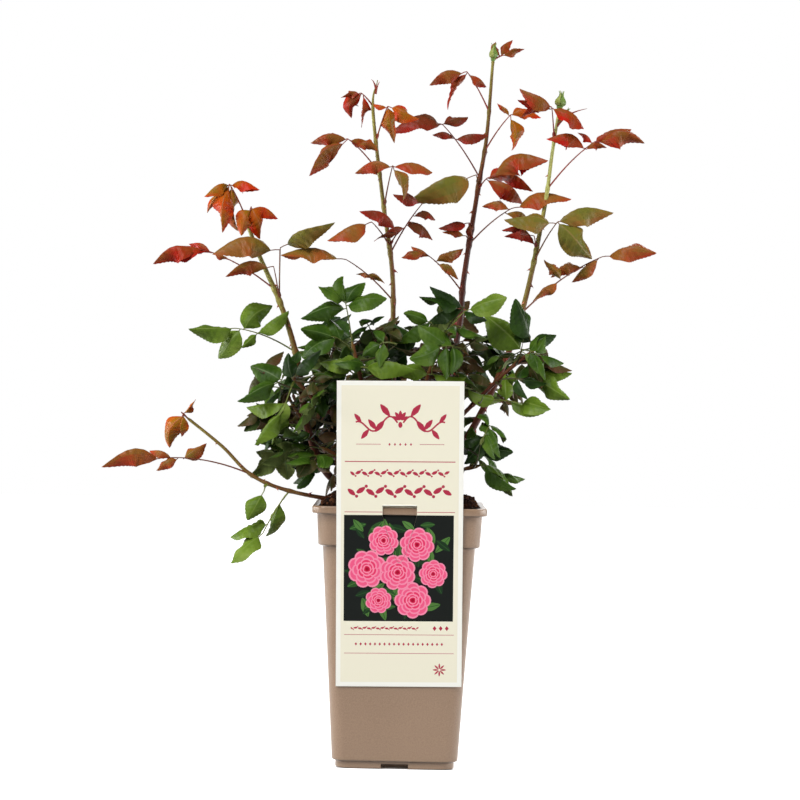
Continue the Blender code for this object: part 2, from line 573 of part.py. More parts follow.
# Leaves placed one by one: how far below the shoot's tip each springs and the reach of its stalk
# (mm), its tone, and its leaflets: share along the stalk, angle above level towards the right
# (degrees), length (mm) and how far the upper side turns from straight up to the front (degrees).
LEAVES = {
    "left": [
        (2, (-16, -6, 32), "orange", [(1.0, -96, 50, 80), (0.97, -130, 36, 65), (0.93, -102, 34, 60),
                                      (0.96, -18, 29, 8)]),
        (12, (3, -12, 19), "orange", [(1.0, -106, 31, 78), (1.0, -74, 33, 78), (0.9, -18, 28, 8)]),
        (80, (-72, -10, 38), "red", [(1.0, -161, 50, 40), (0.97, -173, 44, 25), (0.88, 158, 26, 20),
                                     (0.84, -20, 16, 45)]),
        (92, (3, -14, 52), "olive", [(1.0, 25, 60, 52)]),
        (93, (-8, -14, 52), "bronze", [(1.0, -176, 60, 52)]),
        (94, (-6, -16, 35), "bronze", [(1.0, -166, 48, 45)]),
        (146, (-57, -12, 22), "light", [(1.0, -178, 48, 62), (0.96, -127, 37, 55), (0.92, 42, 38, 58),
                                        (0.68, 37, 39, 30), (0.68, -138, 21, 55)]),
    ],
    "centre": [
        (27, (-12, -3, 13), "red", [(1.0, -164, 21, 50), (1.0, -112, 26, 62), (0.85, -93, 31, 65)]),
        (62, (11, -14, 34), "orange", [(1.0, -22, 34, 65), (1.0, -78, 36, 75), (0.95, 160, 14, 40)]),
        (94, (-32, -10, 33), "red", [(1.0, -134, 54, 50), (1.0, -175, 38, 40), (0.95, -4, 22, 20),
                                     (0.78, -14, 22, 50)]),
        (128, (8, -24, 40), "bronze", [(1.0, -73, 37, 84), (0.97, -171, 38, 25), (0.97, -13, 38, 30)]),
        (166, (-18, -14, 22), "bronze", [(1.0, -155, 48, 45)]),
        (167, (10, -22, 14), "maroon", [(1.0, 156, 44, 52), (0.9, -160, 26, 60)]),
        (174, (30, -8, 50), "maroon", [(1.0, 166, 32, 45), (0.74, -6, 24, 15), (0.55, -24, 32, 40),
                                       (0.5, -155, 26, 50)]),
        (222, (-48, -14, 40), "bronze", [(1.0, -176, 64, 35), (0.6, -25, 20, 50), (0.5, 165, 16, 30)]),
    ],
    "tall": [
        (1, (8, 2, 5), "red", [(1.0, 16, 25, 60), (1.0, 56, 22, 55), (0.9, 104, 17, 50)]),
        (54, (-24, -8, 40), "red", [(1.0, -157, 42, 40), (0.98, -117, 42, 76), (0.92, -30, 22, 40)]),
        (96, (26, -8, 38), "orange", [(1.0, -88, 38, 55), (1.0, -2, 32, 25), (0.96, 132, 19, 50)]),
        (124, (-40, -8, 54), "maroon", [(1.0, 174, 38, 55), (1.0, 20, 28, 58), (0.72, 168, 23, 45),
                                        (0.70, 9, 35, 20)]),
        (132, (-3, -14, 10), "olive", [(1.0, -150, 68, 52)]),
        (137, (9, -12, 12), "red", [(1.0, 16, 64, 30), (1.0, -13, 50, 66), (0.9, -30, 46, 56)]),
        (178, (-3, -8, 6), "maroon", [(1.0, -168, 32, 40), (0.9, -70, 16, 60)]),
        (190, (-3, -8, 4), "bronze", [(1.0, 172, 26, 30)]),
        (194, (42, -10, 38), "bronze", [(1.0, 7, 60, 28), (0.97, 174, 28, 40), (0.86, -24, 32, 35)]),
        (244, (-38, -12, 38), "bronze", [(1.0, -170, 26, 40), (0.92, 150, 22, 30), (0.78, 28, 33, 60),
                                         (0.72, -36, 27, 50)]),
    ],
    "right": [
        (34, (-4, -14, 32), "red", [(1.0, 171, 36, 58), (0.96, -165, 32, 62), (0.98, -27, 36, 50)]),
        (84, (46, -8, 48), "red", [(1.0, -2, 50, 55), (1.0, 22, 42, 48), (0.97, 142, 19, 40),
                                   (0.84, 168, 42, 15), (0.83, 4, 21, 15)]),
        (148, (-3, -8, 14), "maroon", [(1.0, 172, 34, 25), (0.4, 165, 33, 15)]),
        (160, (22, -16, 40), "olive", [(0.96, 178, 54, 30), (1.0, 12, 60, 35), (1.0, -43, 52, 62)]),
        (214, (82, 8, 60), "bronze", [(1.0, -12, 50, 50), (0.96, -138, 36, 60), (0.78, -162, 34, 50),
                                      (0.52, 132, 27, 60), (0.48, -142, 33, 55)]),
    ],
    "low_left": [
        (1, (-4, -4, 3), "orange", [(1.0, 50, 20, 70), (1.0, -112, 36, 50), (0.9, -96, 22, 50)]),
        (86, (-84, -8, 15), "maroon", [(1.0, -171, 62, 38), (0.93, 163, 24, 30), (0.80, 36, 27, 40),
                                       (0.86, -150, 24, 35)]),
        (104, (-2, -12, -8), "light", [(1.0, -118, 32, 40)]),
        (128, (-25, -12, -42), "light", [(1.0, -136, 42, 62), (0.8, -160, 40, 30), (0.3, -114, 38, 62)]),
    ],
    "low_right": [
        (1, (2, -8, 3), "green", [(1.0, -36, 42, 66), (0.9, -46, 46, 15)]),
        (6, (3, -10, 12), "dark", [(1.0, 6, 34, 50)]),
        (12, (14, -10, 32), "dark", [(1.0, -126, 34, 66), (1.0, -168, 28, 60)]),
    ],
    "side_right": [
        (1, (-5, -4, 6), "dark", [(1.0, 112, 46, 62), (1.0, 18, 27, 58), (0.95, 150, 34, 60)]),
        (24, (4, -8, 12), "green", [(0.9, -24, 27, 35), (1.0, 136, 52, 50)]),
        (52, (32, -10, 4), "light", [(1.0, -27, 45, 55), (1.0, 8, 44, 50), (0.7, -168, 26, 40)]),
        (84, (52, -8, 2), "green", [(1.0, -8, 40, 58), (0.80, -16, 35, 12), (0.74, 104, 28, 62),
                                    (0.5, 160, 30, 60)]),
    ],
    "front_left": [
        (1, (-7, -4, 38), "light", [(1.0, 150, 31, 62), (1.0, 96, 27, 60), (0.98, 50, 29, 60),
                                    (0.93, 11, 41, 72), (0.86, -166, 46, 45)]),
        (14, (-18, -12, 16), "green", [(1.0, 168, 36, 55), (1.0, -150, 40, 60), (0.8, 118, 26, 50)]),
        (30, (12, -12, 4), "light", [(0.9, 176, 34, 30), (1.0, -4, 40, 30)]),
    ],
    "front_right": [
        (1, (22, -6, 31), "dark", [(1.0, 168, 46, 45), (0.97, -157, 40, 52), (0.92, -20, 27, 50)]),
        (3, (23, -12, 29), "light", [(1.0, 19, 43, 45)]),
        (8, (-8, -8, 22), "green", [(1.0, 163, 29, 60), (1.0, -150, 40, 50)]),
        (36, (-24, -8, 20), "dark", [(1.0, 178, 40, 55), (0.9, 120, 34, 50), (0.9, -130, 32, 60)]),
    ],
    "thicket_left": [
        (1, (-6, -8, -10), "green", [(1.0, -154, 46, 58), (0.9, 157, 34, 45)]),
        (3, (4, -12, -6), "dark", [(1.0, 46, 40, 58), (1.0, 100, 26, 50)]),
        (12, (-10, -10, -30), "light", [(1.0, -128, 44, 40), (0.96, -108, 38, 50), (0.8, -174, 40, 40),
                                        (0.7, -118, 30, 60)]),
    ],
}
# How far the leaflets of a placed leaf lean towards the back, in turn, as a share of their length.
LEANS = (-0.30, 0.32, 0.45, -0.15)

# Side twigs and leaves that fill a shoot's own space: how many twigs, how many leaves, and the
# middle and half sizes of the space (mm).
FILLS = {
    "front_left": dict(twigs=2, count=6, middle=(-34, -52, 412), half=(62, 50, 62)),
    "front_right": dict(twigs=2, count=6, middle=(40, -52, 412), half=(58, 50, 62)),
    "thicket_low": dict(twigs=3, count=10, middle=(-88, -46, 316), half=(72, 68, 62)),
    "thicket_left": dict(twigs=5, count=16, middle=(-100, -50, 326), half=(76, 76, 102)),
    "thicket_outer": dict(twigs=4, count=15, middle=(-98, 42, 330), half=(76, 74, 100)),
    "side_right": dict(twigs=2, count=5, middle=(112, -48, 392), half=(60, 56, 66)),
    "low_right": dict(twigs=2, count=6, middle=(86, -30, 325), half=(54, 68, 66)),
    "back_left": dict(twigs=4, count=11, middle=(-48, 100, 385), half=(84, 78, 100)),
    "back_right": dict(twigs=4, count=12, middle=(62, 100, 385), half=(84, 78, 100)),
}
FILL_TONES = ("dark", "green", "green", "dark", "light")
TWIG_REACH, TWIG_RISE = 58 * MM, 0.45
PAIR_DROOP = 0.10
TURNS = (0, -8, 8, -16, 16, -26, 26)

BUDS = {"tall": (15 * MM, 4.2 * MM), "right": (15 * MM, 5.2 * MM)}


class Growth:
    """Leaves grown on the shoots, each clear of the limbs and of every other shoot's leaves."""

    def __init__(self, shoots, obstacles):
        self.stems = {shoot.name: tree_of([shoot.stem(CLEAR)]) for shoot in shoots}
        self.obstacles = obstacles + [tree_of([shoot.bough()]) for shoot in shoots]
        self.leaves = {shoot.name: [] for shoot in shoots}
        self.trees = {shoot.name: [] for shoot in shoots}

    def fits(self, name, plan, age, crowded):
        """Whether a leaf is clear of everything; one that may crowd its own shoot's leaves is."""
        solids = leaf_solids(plan, age, CLEAR)
        whole = tree_of(solids)
        blades = tree_of([leaflet(*blade, age, CLEAR) for blade in plan[1]]) if plan[1] else None
        if blades and blades.overlap(self.stems[name]):
            return False
        others = [tree for owner, tree in self.stems.items() if owner != name] + self.obstacles
        others += [tree for owner, trees in self.trees.items() if owner != name for tree in trees]
        if any(whole.overlap(tree) for tree in others):
            return False
        return crowded or not blades or not any(blades.overlap(tree) for tree in self.trees[name])

    def keep(self, name, plan, age, tone):
        self.leaves[name].append((plan, age, tone))
        self.trees[name].append(tree_of(leaf_solids(plan, age)))

    def place(self, shoot, row):
        """Grow one placed leaf; where something is in its way it turns aside, or is skipped."""
        down, reach, tone, blades = row
        base = point_at(shoot.route, shoot.length - down * MM)[0]
        for turn in TURNS:
            plan = placed_plan(base, mm(*reach), blades, Matrix.Rotation(math.radians(turn), 3, "Z"))
            if self.fits(shoot.name, plan, AGE_OF[tone], crowded=True):
                self.keep(shoot.name, plan, AGE_OF[tone], tone)
                return

    def branch(self, shoot, twigs, inside):
        """Side twigs at the golden angle along the stem; returns the stem and its twigs as routes."""
        leafy = shoot.length - shoot.bare
        routes = [piece_of_route(shoot.route, shoot.bare + 0.12 * leafy, shoot.length)]
        for k in range(twigs):
            base = point_at(shoot.route, shoot.bare + leafy * (k + 0.5) / twigs)[0]
            for attempt in range(8):
                bearing = (k + 1) * GOLDEN + attempt * 0.8
                outward = Vector((math.cos(bearing), math.sin(bearing), TWIG_RISE - 0.12 * attempt))
                tip = base + outward.normalized() * TWIG_REACH * (1 - 0.05 * attempt)
                middle = (base + tip) / 2 - UP * 0.08 * TWIG_REACH
                plan = ([base, middle, tip], [])
                if inside(tip) and self.fits(shoot.name, plan, "grown", crowded=False):
                    self.keep(shoot.name, plan, "grown", "twig")
                    routes.append([base, middle, tip])
                    break
        return routes

    def fill(self, shoot, twigs, count, middle, half):
        """Grow leaves on the stem and its twigs, within the shoot's own space."""
        draw = random.Random(shoot.name)
        middle, half = mm(*middle), mm(*half)

        def inside(point):
            return sum(((point[i] - middle[i]) / half[i]) ** 2 for i in range(3)) < 1.0

        routes = self.branch(shoot, twigs, inside)
        for k in range(count):
            route = routes[k % len(routes)]
            tier = (k // len(routes) + 1) * len(routes) / count
            base = point_at(route, route_length(route) * min(1.0, 0.25 + 0.72 * tier))[0]
            for attempt in range(24):
                bearing = k * GOLDEN + attempt * 0.55
                outward = Vector((math.cos(bearing), math.sin(bearing), 0.0))
                reach = outward * draw.uniform(14, 36) * MM + UP * draw.uniform(-18, 20) * MM
                size = draw.uniform(37, 45) * MM * (1.0 - 0.015 * attempt)
                pitch = math.radians(draw.uniform(-40, 5))
                face = math.radians(draw.uniform(30, 75))
                aside = Matrix.Rotation(math.radians(draw.uniform(-60, 60)), 3, "Z")
                toward = aside @ Vector((base.x + reach.x, base.y + reach.y, 0.0)).normalized()
                plan = paired_plan(base, reach, size, pitch, face, draw.choice((1, 2, 2)), outward,
                                   toward)
                held = all(inside(tip) for root, tip, normal in plan[1])
                if held and self.fits(shoot.name, plan, "grown", crowded=False):
                    self.keep(shoot.name, plan, "grown", draw.choice(FILL_TONES))
                    break


def spindle(base, axis, length, radius):
    """A bud: a six-sided spindle on the tip of a cane."""
    across = axis.cross(Vector((0.3, 0.9, 0.1))).normalized()
    other = axis.cross(across)
    rings = []
    for share, swell in ((0.0, 0.35), (0.25, 0.95), (0.5, 1.0), (0.8, 0.5), (1.0, 0.1)):
        centre = base + axis * share * length
        rings.append([centre + swell * radius * (across * math.cos(a) + other * math.sin(a))
                      for a in (k * math.pi / 3 for k in range(6))])
    return loft(rings)


def make_mass(shoot, leaves, finish):
    """A shoot's leafy stem with its leaves, and its bud, joined into one solid."""
    mass = add_object("leaves_" + shoot.name, *shoot.stem(), finish)
    solids = [solid for plan, age, tone in leaves for solid in leaf_solids(plan, age)]
    if shoot.name in BUDS:
        tip, axis = point_at(shoot.route, shoot.length - 2 * MM)
        solids.append(spindle(tip, axis, *BUDS[shoot.name]))
    combine(mass, [add_object("leaf", *solid) for solid in solids], "UNION")
    keep_largest_shell(mass)


def mesh_tree(name):
    """A search tree over the mesh of a finished object."""
    mesh = bpy.data.objects[name].data
    return BVHTree.FromPolygons([v.co.copy() for v in mesh.vertices],
                                [tuple(p.vertices) for p in mesh.polygons])


def grow_leaves(shoots):
    """Grow the placed leaves of every shoot, then the leaves that fill the thicket's spaces."""
    growth = Growth(shoots, [mesh_tree(name) for name in ("pot", "soil", "label", "crown")])
    for shoot in shoots:
        for row in LEAVES.get(shoot.name, []):
            growth.place(shoot, row)
    for shoot in shoots:
        if shoot.name in FILLS:
            growth.fill(shoot, **FILLS[shoot.name])
    return growth.leaves


def build():
    for old in list(bpy.data.objects):
        bpy.data.objects.remove(old)
    plastic = material("pot_plastic", (0.32, 0.23, 0.17), 0.42)
    compost = material("compost", (0.035, 0.017, 0.009), 0.95)
    card = material("label_card", (0.87, 0.83, 0.68), 0.55)
    bark = material("cane_bark", (0.09, 0.06, 0.025), 0.55)
    make_pot(plastic)
    make_soil(compost)
    make_label(card)
    shoots = [Shoot(name, **sizes) for name, sizes in SHOOTS.items()]
    make_crown(shoots, bark)
    leaves = grow_leaves(shoots)
    for shoot in shoots:
        add_object("bough_" + shoot.name, *shoot.bough(), bark)
        tones = [tone for plan, age, tone in leaves[shoot.name]]
        young = sum(AGE_OF[tone] != "grown" for tone in tones) > len(tones) / 2
        colour = (0.30, 0.09, 0.03) if young else (0.06, 0.14, 0.03)
        make_mass(shoot, leaves[shoot.name], material("foliage_" + shoot.name, colour, 0.5))


build()
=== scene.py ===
"""Looks of the potted rose bush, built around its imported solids.

Metres, +Z up, the same frame as the solids.  Each cane, leaf, bud and prickle is grown here by
the same rule and from the same sizes as the solids, with finer shapes, and with further small
leaves in the spaces of the thicket.
"""

import math
import random

import bmesh
import bpy
import numpy as np
from mathutils import Matrix, Vector, noise
from mathutils.bvhtree import BVHTree
from mathutils.geometry import delaunay_2d_cdt


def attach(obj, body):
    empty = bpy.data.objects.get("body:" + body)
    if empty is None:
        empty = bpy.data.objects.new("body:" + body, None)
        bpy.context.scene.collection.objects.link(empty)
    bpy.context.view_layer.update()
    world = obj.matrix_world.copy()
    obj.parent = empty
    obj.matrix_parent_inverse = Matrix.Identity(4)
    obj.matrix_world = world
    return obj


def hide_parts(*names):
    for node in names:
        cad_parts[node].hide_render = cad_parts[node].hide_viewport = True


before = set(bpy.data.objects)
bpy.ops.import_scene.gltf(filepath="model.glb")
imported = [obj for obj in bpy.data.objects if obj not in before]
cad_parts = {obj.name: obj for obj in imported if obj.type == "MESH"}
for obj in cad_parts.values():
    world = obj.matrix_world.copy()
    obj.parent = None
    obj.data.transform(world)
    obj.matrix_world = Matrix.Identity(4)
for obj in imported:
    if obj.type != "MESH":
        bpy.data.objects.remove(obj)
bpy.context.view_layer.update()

MM = 0.001
UP = Vector((0.0, 0.0, 1.0))
FRONT = Vector((0.0, -1.0, 0.0))
SLANT = Vector((0.31, 0.72, 0.11))
GAP = 0.3 * MM


def mm(*values):
    """A point given in millimetres, in metres."""
    return Vector(values) * MM


# -------------------- sizes shared with the solids

POT_HEIGHT = 260 * MM
LIP_HALF, LIP_DEPTH = 86.2 * MM, 7.5 * MM
LIP_FOOT = POT_HEIGHT - LIP_DEPTH
COLLAR_TOP_HALF, COLLAR_FOOT_HALF, COLLAR_FOOT = 81.5 * MM, 79.8 * MM, 221.5 * MM
BODY_TOP_HALF, BODY_FOOT_HALF = 75.4 * MM, 62.6 * MM
FOOT_HALF, FOOT_HEIGHT = 59.0 * MM, 7.0 * MM
STEP = 1.5 * MM
WALL, FLOOR = 1.8 * MM, 9.5 * MM
CORNER_RADIUS, CORNER_STEPS = 14 * MM, 12
NOTCH_WIDTH, NOTCH_HEIGHT, NOTCH_DEPTH = 27 * MM, 5.0 * MM, 22 * MM
SOIL_TOP, SOIL_EDGE = 264 * MM, 256 * MM
CARD_WIDTH, CARD_LENGTH, CARD_THICK, CARD_FOOT = 124 * MM, 303 * MM, 0.8 * MM, 83 * MM
CARD_SWING = math.radians(-0.8)
TONGUE_WIDTH, TONGUE_TIP, TONGUE_HINGE = 33 * MM, 206 * MM, 264.5 * MM
SLOT_WIDTH, SLOT_DEPTH, SLOT_Y = 36 * MM, 1.8 * MM, -82.9 * MM
KNOB_RADIUS, KNOB_HEIGHT, STUB_ROOT = 15 * MM, 34 * MM, 14 * MM
# How far below a cane's foot the point lies that it grows away from, and how far it runs straight
# out of the knob (mm).
FAN_DEPTH, STUB_OUT = 9, 8
SIDES_BOUGH, SIDES_STEM = 6, 4
PATH_STEP = 20 * MM
CLOSEST = 0.2 * PATH_STEP
RACHIS_RADIUS, RACHIS_TIP = 0.9 * MM, 1.0 * MM
BLADE_FOOT_HALF, BLADE_FOOT_RIDGE = 0.7 * MM, 0.5 * MM
LEAF_THICK, BLADE_WIDEST, STALK_RISE = 0.7 * MM, 0.42, 0.12
HANG_TURN, HANG_SHARE, NEARLY_ALONG = 0.45, 0.08, 0.9
# Pairs of side leaflets: where the first pair springs on its stalk, how much lower each further
# pair, their size by the end leaflet's and how much smaller each further pair, and how they lean.
PAIR_PLACE, PAIR_STEP, PAIR_SIZE, PAIR_SHRINK = 0.90, 0.36, 0.90, 0.14
PAIR_AHEAD, PAIR_ASIDE, PAIR_DROOP, PAIR_TILT = 0.42, 0.9, 0.10, 0.25
TWIG_RADIUS = 1.5 * MM
CLEAR = 0.35 * MM
GOLDEN = math.radians(137.5)


# -------------------- colours and finishes

# Tints of leaves, in display values: the upper side from midrib to margin, and the underside.
TONES = {
    "red": dict(top=[(128, 78, 28), (150, 54, 20), (176, 26, 12)], under=[(206, 34, 18), (164, 14, 8)]),
    "orange": dict(top=[(136, 94, 14), (168, 76, 8), (188, 42, 10)], under=[(210, 82, 12), (194, 38, 12)]),
    "maroon": dict(top=[(98, 54, 26), (118, 42, 22), (146, 30, 18)], under=[(152, 62, 38), (158, 30, 18)]),
    "bronze": dict(top=[(116, 92, 32), (140, 80, 32), (156, 54, 26)], under=[(170, 106, 58), (162, 64, 36)]),
    "olive": dict(top=[(102, 100, 36), (124, 98, 40), (142, 78, 36)], under=[(156, 126, 74), (154, 94, 56)]),
    "light": dict(top=[(76, 100, 24), (92, 116, 34), (110, 130, 50)], under=[(132, 146, 86), (118, 134, 72)]),
    "green": dict(top=[(42, 68, 12), (58, 84, 20), (76, 100, 32)], under=[(112, 126, 70), (96, 112, 58)]),
    "dark": dict(top=[(16, 34, 4), (28, 50, 9), (42, 68, 16)], under=[(70, 86, 40), (56, 74, 32)]),
    # deep: near-black greens, painted shade for leaves inside the thicket.
    "deep": dict(top=[(4, 8, 1), (8, 16, 2), (16, 28, 6)], under=[(22, 30, 10), (16, 24, 7)]),
    "plum": dict(top=[(44, 52, 18), (64, 58, 28), (88, 60, 38)], under=[(112, 92, 60), (100, 74, 50)]),
}
# How many tints run over the upper side and over the underside.
TOP_STEPS, UNDER_STEPS = 10, 4
# Tints of midribs and of stalks; the deep ones are painted shade, as for the leaves.
VEINS = {"red": (136, 58, 26), "orange": (154, 82, 26), "maroon": (104, 48, 28),
         "bronze": (124, 82, 38), "olive": (120, 102, 44), "light": (98, 118, 42),
         "green": (64, 88, 28), "dark": (38, 56, 16), "deep": (16, 26, 6), "plum": (68, 60, 30)}
STALKS = {"red": (134, 44, 26), "orange": (136, 56, 28), "maroon": (98, 34, 24),
          "bronze": (104, 50, 28), "olive": (112, 70, 34), "light": (104, 112, 44),
          "green": (84, 92, 36), "dark": (64, 62, 26), "deep": (34, 30, 12), "plum": (84, 52, 30),
          "twig": (62, 56, 26)}

# Bark from the oldest wood to the softest tip.
BARK = [(26, 10, 5), (66, 26, 16), (98, 50, 28), (112, 94, 42), (156, 152, 78), (180, 184, 114)]
BARK_STEPS = 16
THORNS = [(84, 26, 20), (128, 46, 32), (160, 82, 50)]
BUD_TINTS = {"sepal": (140, 150, 74), "hip": (104, 132, 58), "green": (118, 146, 66)}

# Surfaces: roughness, gloss, and the grain and depth of the relief.
SURFACES = {
    "upper": (0.42, 0.13, 2.6 * MM, 0.04 * MM), "under": (0.6, 0.08, 2.6 * MM, 0.04 * MM),
    "stalk": (0.5, 0.3, 2.6 * MM, 0.04 * MM), "bark": (0.45, 0.2, 1.0 * MM, 0.08 * MM),
    "thorn": (0.4, 0.4, 1.0 * MM, 0.05 * MM), "bud": (0.5, 0.3, 2.6 * MM, 0.05 * MM),
    "compost": (0.95, 0.1, 0.8 * MM, 0.4 * MM), "print": (0.5, 0.12, 0.5 * MM, 0.02 * MM),
}
WHITE = (1, 1, 1, 1)

FINISHES = []


def srgb(display):
    """A linear colour from three display values of 0 to 255."""
    shares = [value / 255 for value in display]
    return [s / 12.92 if s <= 0.04045 else ((s + 0.055) / 1.055) ** 2.4 for s in shares] + [1.0]


def between(tints, share):
    """The tint at a share of the way through a list of tints."""
    place = min(max(share, 0.0), 1.0) * (len(tints) - 1)
    low = min(int(place), len(tints) - 2)
    return [a + (b - a) * (place - low) for a, b in zip(tints[low], tints[low + 1])]


def set_inputs(made, values):
    """Set a node's inputs by their names, with _ for a space."""
    for name, value in values.items():
        made.inputs[name.replace("_", " ")].default_value = value


def node(tree, kind, **values):
    """A shader node with its inputs set by name."""
    made = tree.nodes.new("ShaderNode" + kind)
    set_inputs(made, values)
    return made


def wire(tree, *links):
    """Join nodes; each link is a source and its output, a target and its input."""
    for source, output, target, socket in links:
        tree.links.new(source.outputs[output], target.inputs[socket])


def material(name, **values):
    """A new material, its node tree and its shader, whose inputs are set by name."""
    made = bpy.data.materials.new(name)
    made.use_nodes = True
    shader = made.node_tree.nodes["Principled BSDF"]
    set_inputs(shader, values)
    return made, made.node_tree, shader


def finish(name, tint, surface):
    """Make a material of one tint with the relief of its surface, and return its number."""
    roughness, gloss, grain, relief = SURFACES[surface]
    made, tree, shader = material(name, Base_Color=srgb(tint), Roughness=roughness,
                                  Specular_IOR_Level=gloss)
    place = node(tree, "TexCoord")
    pattern = node(tree, "TexNoise", Scale=1 / grain, Detail=3.0)
    bump = node(tree, "Bump", Distance=relief)
    wire(tree, (place, "Object", pattern, "Vector"), (pattern, "Fac", bump, "Height"),
         (bump, "Normal", shader, "Normal"))
    made.diffuse_color = srgb(tint)
    FINISHES.append(made)
    return len(FINISHES) - 1


def ramp(name, tints, steps, surface):
    """Materials in equal steps through a list of tints."""
    return np.array([finish(f"{name}_{k}", between(tints, k / (steps - 1)), surface) for k in range(steps)])


def leaf_finishes():
    """For each tone: the steps of the upper side, of the underside, and the midrib's finish."""
    return {tone: (ramp(tone + "_upper", tints["top"], TOP_STEPS, "upper"),
                   ramp(tone + "_under", tints["under"], UNDER_STEPS, "under"),
                   finish(tone + "_midrib", VEINS[tone], "stalk")) for tone, tints in TONES.items()}


# -------------------- joined meshes

class Skin:
    """Points and faces of many small shapes, gathered for one joined mesh."""

    def __init__(self):
        self.points, self.corners, self.sizes, self.finishes = [], [], [], []
        self.count = 0

    def add(self, points, faces, finishes):
        """Add a shape: its faces are an array or a list of tuples, its finishes one number or many."""
        sizes = [len(face) for face in faces]
        self.points.append(np.array(points, dtype=float))
        self.corners.append(np.array([k for face in faces for k in face]) + self.count)
        self.sizes.append(np.array(sizes))
        self.finishes.append(np.broadcast_to(finishes, (len(sizes),)))
        self.count += len(points)

    def piece(self, name, slot, crease=60):
        """The joined mesh as a smooth-shaded object that rides on the plant's body."""
        points, corners = np.concatenate(self.points), np.concatenate(self.corners)
        sizes, finishes = np.concatenate(self.sizes), np.concatenate(self.finishes)
        used, local = np.unique(finishes, return_inverse=True)
        mesh = bpy.data.meshes.new(name)
        mesh.vertices.add(len(points))
        mesh.vertices.foreach_set("co", points.ravel())
        mesh.loops.add(len(corners))
        mesh.loops.foreach_set("vertex_index", corners)
        mesh.polygons.add(len(sizes))
        mesh.polygons.foreach_set("loop_start", np.cumsum(sizes) - sizes)
        for number in used:
            mesh.materials.append(FINISHES[number])
        mesh.polygons.foreach_set("material_index", local.ravel())
        mesh.polygons.foreach_set("use_smooth", np.ones(len(sizes), dtype=bool))
        mesh.update(calc_edges=True)
        mesh.validate()
        mesh.set_sharp_from_angle(angle=math.radians(crease))
        return add_piece(name, mesh)


def put(name, data):
    """A new object in the scene."""
    made = bpy.data.objects.new(name, data)
    bpy.context.scene.collection.objects.link(made)
    return made


def add_piece(name, mesh):
    """A mesh as a piece that rides on the plant's body."""
    piece = put(name, mesh)
    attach(piece, "root")
    return piece


def circle(count):
    """Angles in equal steps round a full turn."""
    return [2 * math.pi * k / count for k in range(count)]


def spoke(across, other, angle):
    """The way out at an angle in the plane of two ways."""
    return across * math.cos(angle) + other * math.sin(angle)


def loft(rings):
    """Vertices and faces of a closed solid through rings of equal length, capped at both ends."""
    count = len(rings[0])
    vertices = [point for ring in rings for point in ring]
    faces = [tuple(reversed(range(count)))]
    for low in range(0, (len(rings) - 1) * count, count):
        faces += [(low + k, low + (k + 1) % count, low + count + (k + 1) % count, low + count + k)
                  for k in range(count)]
    faces.append(tuple((len(rings) - 1) * count + k for k in range(count)))
    return vertices, faces


def joined(solids):
    """The points and faces of several solids in one pair of lists."""
    points, faces = [], []
    for vertices, polygons in solids:
        first = len(points)
        points += vertices
        faces += [tuple(first + k for k in polygon) for polygon in polygons]
    return points, faces


# How a leaf's age shows: the width of a leaflet by its length, and the fold of its blade.
AGES = {
    "young": dict(width=0.52, fold=0.25),
    "bronze": dict(width=0.48, fold=0.20),
    "grown": dict(width=0.66, fold=0.10),
}
AGE_OF = {"red": "young", "orange": "young", "maroon": "bronze", "bronze": "bronze",
          "olive": "bronze", "light": "grown", "green": "grown", "dark": "grown",
          "twig": "grown"}

# Each shoot: its route from the graft knob to its tip and radii at foot and tip, all in mm,
# and the share of the route where its leaves begin.
SHOOTS = {
    "left": ([(-16, -6, 280), (-68, -27, 285), (-94, -30, 335), (-105, -31, 400), (-122, -33, 455),
        (-148, -36, 512), (-161, -38, 547)], (4.2, 2.0), 0.49),
    "centre": ([(-3, -5, 303), (-10, -26, 410), (-12, -34, 490), (-24, -38, 570), (-35, -42, 655),
        (-31, -42, 684)], (3.2, 1.5), 0.3),
    "tall": ([(9, 7, 301), (38, 22, 350), (57, 38, 440), (61, 42, 490), (74, 47, 585), (82, 50, 640),
        (87, 50, 720)], (4.2, 1.5), 0.43),
    "right": ([(16, 2, 290), (60, 13, 318), (97, 20, 388), (122, 20, 462), (141, 20, 560), (149, 20, 625),
        (155, 20, 668)], (4.0, 1.5), 0.42),
    "low_left": ([(-14, -12, 272), (-60, -46, 266), (-110, -52, 273), (-148, -52, 288), (-178, -50, 316),
        (-214, -48, 344)], (2.4, 1.5), 0.38),
    "low_right": ([(15, -9, 280), (48, -28, 293), (80, -38, 302)], (2.2, 1.6), 0.6),
    "side_right": ([(11, -11, 294), (45, -32, 335), (104, -40, 396), (133, -42, 420)], (2.6, 1.6), 0.42),
    "front_left": ([(-11, -11, 294), (-32, -48, 350), (-51, -60, 423)], (2.4, 1.6), 0.45),
    "front_right": ([(3, -14, 303), (16, -48, 360), (38, -56, 428)], (2.4, 1.6), 0.45),
    "thicket_low": ([(-8, -16, 280), (-40, -44, 296), (-80, -56, 318)], (2.2, 1.6), 0.4),
    "thicket_left": ([(-14, -6, 299), (-50, -46, 335), (-84, -66, 362),
        (-114, -74, 392)], (2.8, 1.6), 0.4),
    "thicket_outer": ([(-13, 8, 286), (-75, 26, 310), (-120, 32, 370)], (2.8, 1.6), 0.4),
    "back_left": ([(-7, 14, 296), (-40, 70, 345), (-48, 92, 420)], (3.0, 1.6), 0.4),
    "back_right": ([(8, 14, 292), (50, 66, 340), (66, 92, 425)], (3.0, 1.6), 0.4),
}


# -------------------- growth, by the rule of the solids

